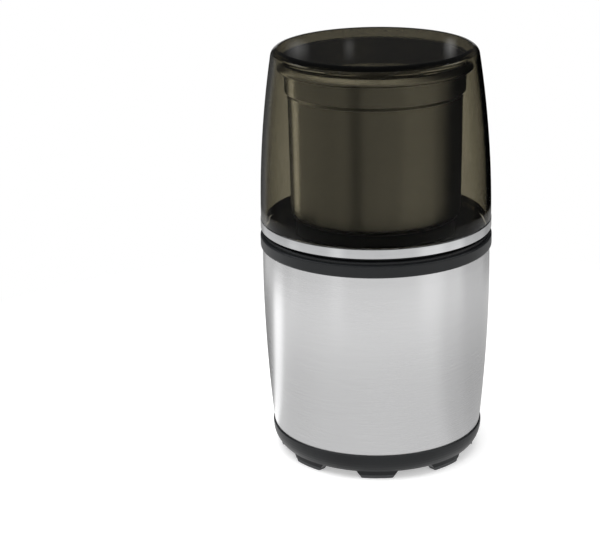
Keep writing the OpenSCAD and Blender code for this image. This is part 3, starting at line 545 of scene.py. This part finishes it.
@dataclass(frozen=True)
class Grained(Finish):
    """Cast, sintered or pressed metal and carbon, with a granular face.

    Attributes:
        grain: Grain size, in metres.
        depth: Grain depth, in metres.
        metal: Metallic share.
        mottle: How much the tone changes from grain to grain.
    """

    slow: float = 120.0
    grain: float = 0.25 * MM
    depth: float = 0.02 * MM
    metal: float = 1.0
    mottle: float = 0.2

    def dress(self, graph: Graph, shader: bpy.types.Node) -> None:
        """See Finish.dress."""
        place = graph.place()
        cells = graph.add("TexVoronoi", Vector=place, Scale=1.0 / self.grain).outputs["Distance"]
        slow = graph.noise(place, self.slow, 3.0)
        graph.feed(shader.inputs["Base Color"],
                   graph.mix(graph.spread(cells, 0.0, 1.0, 0.0, 0.9), shade(self.colour, 1.0 + self.mottle),
                             shade(self.colour, 1.0 - self.mottle)))
        shader.inputs["Metallic"].default_value = self.metal
        graph.feed(shader.inputs["Roughness"], graph.spread(slow, self.roughness - 0.06, self.roughness + 0.1))
        graph.feed(shader.inputs["Normal"], graph.bump(cells, self.depth, 0.6, graph.softened(self.edge)))


SMOKED_LID = Smoked("smoked_lid", (0.435, 0.415, 0.350), 0.01)
CHROME_RING = Plated("chrome_ring", (0.49, 0.495, 0.50), 0.10, wave=0.006 * MM)
SLEEVE_STEEL = Brushed("sleeve_steel_brushed", (0.64, 0.64, 0.645), 0.25, depth=0.002 * MM, contrast=0.08, sheen=0.03)
BOWL_STEEL = Brushed("bowl_steel_turned", (0.53, 0.525, 0.515), 0.25, line=0.09 * MM, depth=0.0002 * MM,
                     contrast=0.03, sheen=0.002, pull=0.95, inner=0.04)
BLADE_STEEL = Brushed("blade_steel_ground", (0.62, 0.62, 0.62), 0.22, line=0.06 * MM, stretch=30.0, pull=0.3)
BRIGHT_STEEL = Plated("bright_steel", (0.62, 0.62, 0.63), 0.22)
ZINC_STEEL = Plated("zinc_plated_steel", (0.55, 0.55, 0.53), 0.32)
SATIN_BLACK = Moulded("black_satin_plastic", (0.010, 0.011, 0.012), 0.34, grain=0.5 * MM, depth=0.006 * MM, gloss=0.28)
DECK_BLACK = Moulded("black_deck_plastic", (0.003, 0.0035, 0.004), 0.10, grain=1.5 * MM, depth=0.0006 * MM, gloss=0.12)
COVER_BLACK = Moulded("black_cover_plastic", (0.010, 0.011, 0.012), 0.45, gloss=0.3)
NYLON_BLACK = Moulded("black_nylon", (0.016, 0.016, 0.017), 0.5)
NYLON_WHITE = Moulded("natural_nylon", (0.72, 0.70, 0.64), 0.45, dust=0.05)
CHASSIS_GREY = Moulded("dark_chassis_plastic", (0.03, 0.03, 0.032), 0.55)
PAD_RUBBER = Moulded("grey_pad_rubber", (0.075, 0.078, 0.08), 0.75, grain=0.3 * MM, depth=0.03 * MM, gloss=0.3)
SEAL_RUBBER = Moulded("black_seal_rubber", (0.02, 0.02, 0.02), 0.7, gloss=0.35)
BUTTON_RED = Moulded("red_button", (0.42, 0.03, 0.025), 0.4, dust=0.1)
CASE_YELLOW = Moulded("capacitor_case", (0.62, 0.44, 0.10), 0.35, dust=0.05)
BRONZE = Grained("sintered_bronze", (0.46, 0.28, 0.12), 0.45, mottle=0.3)
BRASS = Plated("brass", (0.70, 0.50, 0.19), 0.28)
CAST_ALLOY = Grained("cast_alloy", (0.48, 0.48, 0.49), 0.5, grain=0.4 * MM, mottle=0.12)
LAMINATION = Stacked("lamination_stack", (0.24, 0.24, 0.25), 0.45)
COPPER_WIRE = Wound("enamelled_copper", (0.66, 0.26, 0.11), 0.3)
ROTOR_WIRE = Wound("rotor_copper", (0.60, 0.23, 0.10), 0.32, wire=0.35 * MM, lay=Lay.UPRIGHT)
BAR_COPPER = Brushed("commutator_bars", (0.70, 0.33, 0.19), 0.28, line=0.05 * MM, contrast=0.15)
CARBON = Grained("brush_carbon", (0.035, 0.035, 0.037), 0.55, grain=0.12 * MM, metal=0.2, mottle=0.3)


# --------------------------------------------------------------------- meshes


def skin(net: bmesh.types.BMesh, rings: Sequence[Sequence[bmesh.types.BMVert]]) -> None:
    """Joins rings of points into a closed tube, with a flat cap at each end.

    Args:
        net: The mesh under construction.
        rings: The rings in order, all with the same number of points.
    """
    for lower, upper in zip(rings, rings[1:]):
        for here in range(len(lower)):
            there = (here + 1) % len(lower)
            net.faces.new((lower[here], lower[there], upper[there], upper[here]))
    net.faces.new(rings[0][::-1])
    net.faces.new(rings[-1])


def finished(name: str, net: bmesh.types.BMesh, finish: Finish) -> bpy.types.Object:
    """Turns a mesh under construction into an object, smooth but for its caps.

    Args:
        name: Name of the object and its mesh.
        net: The mesh under construction, which is freed.
        finish: The object's finish.

    Returns:
        The object.
    """
    bmesh.ops.recalc_face_normals(net, faces=net.faces)
    for face in net.faces:
        face.smooth = len(face.verts) == 4
    mesh = bpy.data.meshes.new(name)
    net.to_mesh(mesh)
    net.free()
    mesh.materials.append(finish.material())
    piece = bpy.data.objects.new(name, mesh)
    bpy.context.scene.collection.objects.link(piece)
    log.info("piece %s: %s", name, finish.name)
    return piece


# -------------------------------------------------------------- sub-assemblies


@dataclass
class Assembly:
    """A sub-assembly of the grinder: which finish each of its solids gets, and the trim it adds.

    Attributes:
        finishes: Finish by node name.
    """

    finishes: dict[str, Finish] = field(default_factory=dict)

    def dress(self) -> None:
        """Gives each solid of the sub-assembly its finish."""
        for name, finish in self.finishes.items():
            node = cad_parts[name]
            node.data.materials.clear()
            node.data.materials.append(finish.material())
            log.info("node %s: %s", name, finish.name)

    def build(self) -> None:
        """Makes the trim that the solids leave out; there is none unless a class adds it."""


@dataclass
class Lid(Assembly):
    """The smoked dome and the chrome ring round its foot."""

    finishes: dict[str, Finish] = field(default_factory=lambda: {
        "lid_dome": SMOKED_LID, "lid_ring": CHROME_RING})


@dataclass
class Bowl(Assembly):
    """The steel bowl with its plastic base, bearing and cutter."""

    finishes: dict[str, Finish] = field(default_factory=lambda: {
        "bowl_shell": BOWL_STEEL, "bowl_base": NYLON_BLACK, "bearing_housing": BRIGHT_STEEL,
        "housing_nut": BRASS, "housing_gasket": SEAL_RUBBER, "bowl_bushes": BRONZE, "shaft_seal": SEAL_RUBBER,
        "blade_shaft": BRIGHT_STEEL, "blade": BLADE_STEEL, "blade_nut": BRIGHT_STEEL, "blade_spacer": NYLON_WHITE,
        "retaining_ring": ZINC_STEEL, "driven_coupling": NYLON_BLACK})


@dataclass
class Housing(Assembly):
    """The base's outer shell, deck, chassis and feet, with the seam that closes the sleeve at the back.

    Attributes:
        radius: Outer radius of the sleeve at its belly, in metres.
        belly: Height of the belly above the table, in metres.
        curve: Radius of the sleeve's outline, in metres.
        foot: Height at which the seam starts, in metres.
        top: Height at which it ends, in metres.
        seam: Width of the seam, in metres.
        proud: How far it stands out, in metres.
        fold: Share of its half width that its rolled edges take up.
        crease: Depth of the crease along its middle, in metres.
        lap: Share of its half width that the crease takes up.
        sunk: How far its sides reach into the sleeve, in metres.
        rows: Steps along the seam.
    """

    radius: float = 57.65 * MM
    belly: float = 94.9 * MM
    curve: float = 790.0 * MM
    foot: float = 14.1 * MM
    top: float = 108.5 * MM
    seam: float = 7.5 * MM
    proud: float = 0.25 * MM
    fold: float = 0.10
    crease: float = 0.18 * MM
    lap: float = 0.12
    sunk: float = 0.1 * MM
    rows: int = 96
    finishes: dict[str, Finish] = field(default_factory=lambda: {
        "steel_sleeve": SLEEVE_STEEL, "top_collar": SATIN_BLACK, "deck": DECK_BLACK, "drive_seal": SEAL_RUBBER,
        "chassis": CHASSIS_GREY, "base_skirt": SATIN_BLACK, "bottom_cover": COVER_BLACK, "foot_pads": PAD_RUBBER,
        "cord_gland": SEAL_RUBBER, "chassis_screws": ZINC_STEEL, "bottom_screws": ZINC_STEEL})

    def sleeve_radius(self, height: float) -> float:
        """Returns the sleeve's outer radius at a height above the table, in metres."""
        return self.radius - (height - self.belly) ** 2 / (2.0 * self.curve)

    def seam_profile(self) -> list[tuple[float, float]]:
        """Works out the seam's cross-section.

        Returns:
            Points from the left edge to the right one: place across the seam and height over the sleeve, in metres.
        """
        half = self.seam / 2.0
        edge = [(1.0 - self.fold * (1.0 - math.cos(turn)), math.sin(turn))
                for turn in (math.radians(a) for a in (0.0, 20.0, 40.0, 60.0, 80.0, 90.0))]
        depth = self.crease / self.proud
        groove = [(self.lap, 1.0), (self.lap / 2.0, 1.0 - 0.6 * depth), (0.0, 1.0 - depth)]
        right = [(across * half, up * self.proud) for across, up in edge + groove]
        left = [(-across, up) for across, up in right[:-1]]
        return left + right[::-1]

    def build(self) -> None:
        """Makes the lapped seam that runs up the back of the sleeve."""
        net = bmesh.new()
        profile = self.seam_profile()
        outline = [(profile[0][0], -self.sunk), *profile, (profile[-1][0], -self.sunk)]
        rings = []
        for row in range(self.rows + 1):
            share = row / self.rows
            height = self.foot + (self.top - self.foot) * share
            taper = min(1.0, 0.2 + min(share, 1.0 - share) * self.rows / 2.0)  # the ends come down in two steps
            around = self.sleeve_radius(height)
            ring = []
            for across, up in outline:
                out = around + (up * taper if up > 0.0 else up)
                turn = across / around
                ring.append(net.verts.new((out * math.sin(turn), out * math.cos(turn), height)))
            rings.append(ring)
        skin(net, rings)
        seam = finished("sleeve_seam", net, SLEEVE_STEEL)
        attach(seam, "base")


@dataclass
class Motor(Assembly):
    """The universal motor: stator, brackets, bearings, brushes and rotor."""

    finishes: dict[str, Finish] = field(default_factory=lambda: {
        "stator_core": LAMINATION, "field_coils": COPPER_WIRE, "upper_bracket": CAST_ALLOY,
        "lower_bracket": CAST_ALLOY, "upper_bearing": BRONZE, "lower_bearing": BRONZE, "bearing_clips": ZINC_STEEL,
        "brush_holders": BRASS, "carbon_brushes": CARBON, "brush_springs": BRIGHT_STEEL, "motor_mounts": SEAL_RUBBER,
        "motor_screws": ZINC_STEEL, "motor_shaft": BRIGHT_STEEL, "armature_core": LAMINATION,
        "armature_windings": ROTOR_WIRE, "commutator": BAR_COPPER, "cooling_fan": NYLON_WHITE,
        "drive_coupling": NYLON_BLACK})


@dataclass
class SafetySwitch(Assembly):
    """The lid switch: pusher ring, springs, lever, switch and capacitor.

    Attributes:
        angles: Where the springs stand round the axis, in degrees.
        away: Distance of the springs from the axis, in metres.
        seat: Height of the plate that they stand on, in metres.
        length: Length of a spring at rest, in metres.
        coil: Radius of the coil to the middle of the wire, in metres.
        wire: Radius of the wire, in metres.
        turns: Turns of a spring.
        closed: Turns at each end that lie wire on wire.
        steps: Steps of one turn.
        sides: Sides of the wire.
        pressed: Share of the length that is left when the pusher is down; not used.
    """

    finishes: dict[str, Finish] = field(default_factory=lambda: {
        "pusher_ring": NYLON_WHITE, "return_springs": BRIGHT_STEEL, "switch_lever": BRIGHT_STEEL,
        "switch_button": BUTTON_RED, "switch_body": NYLON_BLACK, "switch_terminals": BRASS,
        "capacitor": CASE_YELLOW})
    angles: tuple[float, ...] = (30.0, 150.0, 270.0)
    away: float = 50.7 * MM
    seat: float = 94.02 * MM
    length: float = 10.3 * MM
    coil: float = 2.3 * MM
    wire: float = 0.5 * MM
    turns: float = 5.75
    closed: float = 0.8
    steps: int = 32
    sides: int = 12
    pressed: float = 0.71

    def climb(self, turn: float) -> float:
        """Works out how high the wire's middle is over the seat.

        Args:
            turn: Turns from the spring's foot.

        Returns:
            The height, in metres.
        """
        flat = 2.0 * self.wire * self.closed
        pitch = (self.length - 2.0 * self.wire - 2.0 * flat) / (self.turns - 2.0 * self.closed)
        rise = 2.0 * self.wire * min(turn, self.closed)
        rise += pitch * min(max(turn - self.closed, 0.0), self.turns - 2.0 * self.closed)
        rise += 2.0 * self.wire * max(turn - self.turns + self.closed, 0.0)
        return self.wire + rise

    def wind(self, net: bmesh.types.BMesh, middle: Vector) -> None:
        """Winds one spring into a mesh.

        Args:
            net: The mesh under construction.
            middle: The point of the seat under the spring's middle.
        """
        rings = []
        nudge = 0.01  # turns to either side at which the slope is read
        for step in range(round(self.turns * self.steps) + 1):
            turn = step / self.steps
            angle = 2.0 * math.pi * turn
            out = Vector((math.cos(angle), math.sin(angle), 0.0))
            rise = (self.climb(turn + nudge) - self.climb(turn - nudge)) / (2.0 * nudge)
            slope = rise / (2.0 * math.pi * self.coil)
            ahead = Vector((-math.sin(angle), math.cos(angle), slope)).normalized()
            over = out.cross(ahead)
            point = middle + self.coil * out + Vector((0.0, 0.0, self.climb(turn)))
            rings.append([net.verts.new(point + self.wire * (math.cos(a) * out + math.sin(a) * over))
                          for a in (2.0 * math.pi * side / self.sides for side in range(self.sides))])
        skin(net, rings)

    def build(self) -> None:
        """Makes the three return springs, with closed ends."""
        net = bmesh.new()
        for angle in self.angles:
            turn = math.radians(angle)
            self.wind(net, Vector((self.away * math.cos(turn), self.away * math.sin(turn), self.seat)))
        coils = finished("return_coils", net, BRIGHT_STEEL)
        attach(coils, "base")
        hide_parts("return_springs")
        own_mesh(coils)


# ---------------------------------------------------------------------- studio


@dataclass(frozen=True)
class Viewpoint:
    """Where the grinder is seen from.

    Attributes:
        place: The camera's place, in metres.
        yaw: Turn to the left of straight ahead, in degrees.
        pitch: Tilt downward, in degrees.
        roll: Roll, in degrees.
        lens: Focal length, in mm.
        sensor: Width of the sensor, in mm.
        clip: Nearest and farthest distance that is drawn, in metres.
    """

    place: tuple[float, float, float] = (0.0, -0.900, 0.3973)
    yaw: float = 2.480
    pitch: float = 18.679
    roll: float = -1.138
    lens: float = 111.26
    sensor: float = 36.0
    clip: tuple[float, float] = (0.02, 50.0)

    def build(self) -> bpy.types.Object:
        """Makes the scene's camera.

        Returns:
            The camera object.
        """
        data = bpy.data.cameras.new("viewpoint")
        data.lens, data.sensor_width, data.sensor_fit = self.lens, self.sensor, "HORIZONTAL"
        data.clip_start, data.clip_end = self.clip
        yaw, pitch, roll = (math.radians(a) for a in (self.yaw, self.pitch, self.roll))
        ahead = Vector((-math.sin(yaw) * math.cos(pitch), math.cos(yaw) * math.cos(pitch), -math.sin(pitch)))
        level = Vector((math.cos(yaw), math.sin(yaw), 0.0))
        above = level.cross(ahead)
        right = math.cos(roll) * level + math.sin(roll) * above
        up = -math.sin(roll) * level + math.cos(roll) * above
        axes = Matrix((right, up, -ahead)).transposed().to_4x4()
        camera = bpy.data.objects.new("viewpoint", data)
        camera.matrix_world = Matrix.Translation(self.place) @ axes
        bpy.context.scene.collection.objects.link(camera)
        bpy.context.scene.camera = camera
        return camera


@dataclass(frozen=True)
class Softbox:
    """One rectangular studio lamp that looks at the grinder.

    Attributes:
        name: The lamp's name.
        place: Its place, in metres.
        size: Width and height, in metres.
        power: Its power, in watts.
        aim: The point that it looks at.
    """

    name: str
    place: tuple[float, float, float]
    size: tuple[float, float]
    power: float
    aim: tuple[float, float, float] = (0.0, 0.0, 0.11)

    def build(self) -> bpy.types.Object:
        """Makes the lamp.

        Returns:
            The lamp object.
        """
        data = bpy.data.lights.new(self.name, "AREA")
        data.shape, data.size, data.size_y, data.energy = "RECTANGLE", self.size[0], self.size[1], self.power
        lamp = bpy.data.objects.new(self.name, data)
        lamp.location = self.place
        lamp.rotation_euler = (Vector(self.aim) - Vector(self.place)).to_track_quat("-Z", "Y").to_euler()
        lamp.visible_glossy = False
        lamp.visible_transmission = False
        bpy.context.scene.collection.objects.link(lamp)
        return lamp


@dataclass(frozen=True)
class Studio:
    """The pale floor, the white surroundings and the lamps.

    Attributes:
        floor: Radius of the floor, in metres.
        drop: How far it lies below the feet, in metres.
        pale: Colour of the floor.
        lift: What the floor adds of its own where it is seen, so that it meets the white behind it.
        fade: Distances from the axis between which the floor turns plain white, in metres.
        ambient: Strength of the surroundings as light.
        apron: Azimuth from the front, in degrees to the right, and brightness of the panels close to the grinder.
        ring: The same for the panels farther out.
        cards: The same for what the pieces under the lid mirror.
        reach: Distances from the axis at which the apron starts and ends giving way to the ring, and the ring to
            the room, in metres.
        room: The same for the walls of the room, which stand behind the ring.
        ceiling: Brightness of the dark upper part of the room.
        wall: Heights of a direction between which the walls give way to the ceiling.
        key: Brightness of the long panel above the camera.
        key_band: Heights of a direction where the key rises and falls.
        key_front: Depths of a direction between which the key dies out towards the back.
        slits: Azimuth, half width in degrees and brightness of the narrow lights high on the far wall.
        slit_band: Heights of a direction where the slits rise and fall.
        crown: How many times brighter the cards are overhead.
        crown_rise: Heights of a direction between which they brighten to that.
        middle: What brings the middle of the floor's shading to 0, in metres.
        apron_fade: Factors on the apron's brightness at its inner and outer end, then their distances, in metres.
        most: The brightest that a panel can be.
        passes: A ray that has passed more faces of the lid than this was mirrored under it.
        lamps: The lamps.
    """

    floor: float = 6.0
    drop: float = 0.05 * MM
    pale: Colour = (0.80, 0.80, 0.80)
    lift: float = 0.42
    fade: tuple[float, float] = (0.10, 0.34)
    ambient: float = 0.55
    apron: tuple[tuple[float, float], ...] = (
        (-180.0, 0.30), (-136.0, 0.34), (-122.0, 0.60), (-113.0, 1.75), (-105.0, 1.75), (-96.0, 1.02), (-80.0, 0.98),
        (-40.0, 1.04), (0.0, 1.06), (50.0, 1.04), (70.0, 0.84), (100.0, 0.70), (130.0, 0.64), (180.0, 0.60))
    ring: tuple[tuple[float, float], ...] = (
        (-180.0, 0.30), (-150.0, 0.44), (-134.0, 0.88), (-120.0, 0.94), (-96.0, 0.92), (-84.0, 1.20), (-72.0, 1.10),
        (-58.0, 1.06), (-48.0, 1.10), (-36.0, 1.42), (-25.0, 1.10), (0.0, 1.06), (34.0, 1.10), (48.0, 1.46),
        (60.0, 1.46), (72.0, 1.26), (84.0, 1.32), (97.0, 0.94), (120.0, 0.82), (138.0, 0.50), (180.0, 0.22))
    cards: tuple[tuple[float, float], ...] = (
        (-180.0, 0.10), (-152.0, 0.24), (-137.0, 0.40), (-131.0, 2.70), (-122.0, 2.70), (-115.0, 0.75), (-98.0, 0.66),
        (-60.0, 0.54), (-42.0, 0.56), (-24.0, 0.26), (-9.0, 0.52), (24.0, 0.58), (48.0, 0.80), (74.0, 0.76),
        (92.0, 0.46), (104.0, 0.16), (116.0, 0.01), (180.0, 0.01))
    reach: tuple[float, float, float, float] = (0.28, 0.34, 0.43, 0.48)
    room: tuple[tuple[float, float], ...] = (
        (-180.0, 0.70), (-171.0, 0.70), (-165.0, 0.04), (-152.0, 0.12), (-138.0, 0.28), (-128.0, 0.08), (-116.0, 0.04),
        (-98.0, 0.15), (-80.0, 0.35), (-55.0, 0.60), (55.0, 0.60), (80.0, 0.35), (98.0, 0.12), (114.0, 0.02),
        (150.0, 0.0), (167.0, 0.0), (174.0, 0.70), (180.0, 0.70))
    ceiling: float = 0.03
    wall: tuple[float, float] = (0.05, 0.17)
    key: float = 3.0
    key_band: tuple[float, float, float, float] = (0.40, 0.50, 0.56, 0.66)
    key_front: tuple[float, float] = (0.2, 0.5)
    slits: tuple[tuple[float, float, float], ...] = ((-177.58, 0.42, 0.24), (-179.20, 0.22, 0.13), (177.64, 0.24, 0.36))
    slit_band: tuple[float, float, float, float] = (0.199, 0.203, 0.205, 0.213)
    crown: float = 3.0
    crown_rise: tuple[float, float] = (0.7, 0.95)
    middle: tuple[float, float, float] = (0.0, 0.02, 0.0)
    apron_fade: tuple[float, float, float, float] = (0.79, 1.18, 0.15, 0.31)
    most: float = 4.0
    passes: float = 2.5
    lamps: tuple[Softbox, ...] = (
        Softbox("left_softbox", (-0.95, -0.20, 0.80), (0.7, 1.0), 4.5),
        Softbox("right_softbox", (0.9, -0.85, 0.8), (0.6, 0.9), 2.5),
        Softbox("top_softbox", (-0.1, -0.05, 1.20), (1.2, 1.2), 13.0),
    )

    def panels(self, graph: Graph, place: Socket, panels: Sequence[tuple[float, float]]) -> Socket:
        """Works out how bright a ring of panels is in a direction.

        Args:
            graph: The graph to build in.
            place: A direction or a place seen from the grinder's axis.
            panels: Azimuth and brightness of each panel, at most self.most.

        Returns:
            The brightness, about 1.
        """
        split = graph.add("SeparateXYZ", Vector=place).outputs
        ramp = graph.add("ValToRGB", Fac=graph.spread(graph.azimuth(split), 0.0, 1.0, -math.pi, math.pi))
        ramp.color_ramp.interpolation = "EASE"
        stops = ramp.color_ramp.elements
        while len(stops) < len(panels):
            stops.new(0.5)
        for stop, (azimuth, bright) in zip(stops, panels):
            stop.position = (azimuth + 180.0) / 360.0
            stop.color = (bright / self.most, bright / self.most, bright / self.most, 1.0)
        return graph.calc("MULTIPLY", ramp.outputs[0], self.most)

    def paths(self, graph: Graph) -> tuple[Socket, Socket, Socket]:
        """Tells apart what is seen straight or through the lid from what is mirrored.

        Args:
            graph: The graph to build in.

        Returns:
            Three switches: seen, mirrored, and mirrored by anything but what stands under the lid.
        """
        path = graph.add("LightPath").outputs
        mirrored = graph.calc("GREATER_THAN", path["Glossy Depth"], 0.5)
        straight = graph.calc("MAXIMUM", path["Is Camera Ray"], path["Is Transmission Ray"])
        seen = graph.calc("MULTIPLY", straight, graph.calc("SUBTRACT", 1.0, mirrored))
        outside = graph.calc("MULTIPLY", mirrored, graph.calc("LESS_THAN", path["Transmission Depth"], self.passes))
        return seen, mirrored, outside

    def surroundings(self) -> None:
        """Fills the world: white where it is seen, a ring of soft panels where it is mirrored."""
        world = bpy.data.worlds.new("white_surroundings")
        bpy.context.scene.world = world
        world.use_nodes = True
        graph = Graph(world.node_tree)
        seen, mirrored, outside = self.paths(graph)
        way = graph.add("TexCoord").outputs["Generated"]
        split = graph.add("SeparateXYZ", Vector=way).outputs
        far = graph.mix(graph.spread(split[2], 0.0, 1.0, *self.wall), self.panels(graph, way, self.room),
                        (self.ceiling, self.ceiling, self.ceiling))
        key = graph.calc("MULTIPLY", graph.band(split[2], self.key_band),
                         graph.spread(split[1], self.key, 0.0, *self.key_front))
        far = graph.calc("ADD", far, key)
        turn = graph.azimuth(split)
        high = graph.band(split[2], self.slit_band)
        for azimuth, half, bright in self.slits:
            off = graph.calc("ABSOLUTE", graph.calc("SUBTRACT", turn, math.radians(azimuth)))
            slit = graph.spread(off, bright, 0.0, 0.0, math.radians(half))
            far = graph.calc("ADD", far, graph.calc("MULTIPLY", slit, high))
        near = graph.calc("MULTIPLY", self.panels(graph, way, self.cards),
                          graph.spread(split[2], 1.0, self.crown, *self.crown_rise))
        panels = graph.mix(outside, near, far)
        other = graph.calc("MULTIPLY", self.ambient, graph.calc("SUBTRACT", 1.0, graph.calc("ADD", seen, mirrored)))
        strength = graph.calc("ADD", seen, graph.calc("ADD", graph.calc("MULTIPLY", mirrored, panels), other))
        glow = graph.add("Background", Color=(1.0, 1.0, 1.0), Strength=strength)
        graph.add("OutputWorld", Surface=glow.outputs[0])

    def ground(self) -> bpy.types.Object:
        """Makes the floor, which glows as panels of painted reflection where it is mirrored.

        Returns:
            The floor object.
        """
        mesh = bpy.data.meshes.new("studio_floor")
        net = bmesh.new()
        bmesh.ops.create_circle(net, cap_ends=True, radius=self.floor, segments=96)
        net.to_mesh(mesh)
        net.free()
        floor = bpy.data.objects.new("studio_floor", mesh)
        bpy.context.scene.collection.objects.link(floor)
        floor.location.z = CAD_BOX[0].z - self.drop
        paint = bpy.data.materials.new("pale_floor")
        paint.use_nodes = True
        graph = Graph(paint.node_tree)
        matt = graph.add("BsdfDiffuse", Color=self.pale)
        seen, mirrored, outside = self.paths(graph)
        own = graph.add("Emission", Color=(1.0, 1.0, 1.0), Strength=graph.calc("MULTIPLY", seen, self.lift))
        both = graph.tree.nodes.new("ShaderNodeAddShader")
        graph.feed(both.inputs[0], matt.outputs[0])
        graph.feed(both.inputs[1], own.outputs[0])
        place = graph.place()
        middle = graph.add("VectorMath", Vector=place)
        graph.feed(middle.inputs[1], self.middle)
        length = graph.add("VectorMath", Vector=middle.outputs[0])
        length.operation = "LENGTH"
        away = length.outputs["Value"]
        plain = graph.add("Emission", Color=(1.0, 1.0, 1.0), Strength=1.0)
        far = graph.calc("MAXIMUM", graph.add("LightPath").outputs["Is Transmission Ray"],
                         graph.spread(away, 0.0, 1.0, *self.fade))
        # painted reflection: where the floor is mirrored it glows as panels of light instead of showing its own shading
        near = graph.calc("MULTIPLY", self.panels(graph, place, self.apron), graph.spread(away, *self.apron_fade))
        lit = graph.mix(graph.spread(away, 0.0, 1.0, *self.reach[:2]), near, self.panels(graph, place, self.ring))
        lit = graph.mix(graph.spread(away, 0.0, 1.0, *self.reach[2:]), lit, self.panels(graph, place, self.room))
        panels = graph.mix(outside, self.panels(graph, place, self.cards), lit)
        glow = graph.add("Emission", Color=(1.0, 1.0, 1.0), Strength=panels)
        faded = graph.blend(graph.calc("MULTIPLY", seen, far), both.outputs[0], plain.outputs[0])
        whole = graph.blend(mirrored, faded, glow.outputs[0])
        below = graph.calc("MULTIPLY", graph.add("NewGeometry").outputs["Backfacing"],
                           graph.add("LightPath").outputs["Is Camera Ray"])
        graph.add("OutputMaterial", Surface=graph.blend(below, whole, graph.add("BsdfTransparent").outputs[0]))
        mesh.materials.append(paint)
        return floor

    def build(self) -> None:
        """Makes the surroundings, the floor and the lamps."""
        bpy.context.scene.view_settings.view_transform = "Standard"
        self.surroundings()
        self.ground()
        for lamp in self.lamps:
            lamp.build()
            log.info("lamp %s", lamp.name)


# ------------------------------------------------------------------------ main


def main() -> None:
    """Builds the camera, the studio and every sub-assembly in turn."""
    Viewpoint().build()
    Studio().build()
    for assembly in (Housing(), Bowl(), Lid(), Motor(), SafetySwitch()):
        assembly.build()
        assembly.dress()


if __name__ == "__main__":
    main()
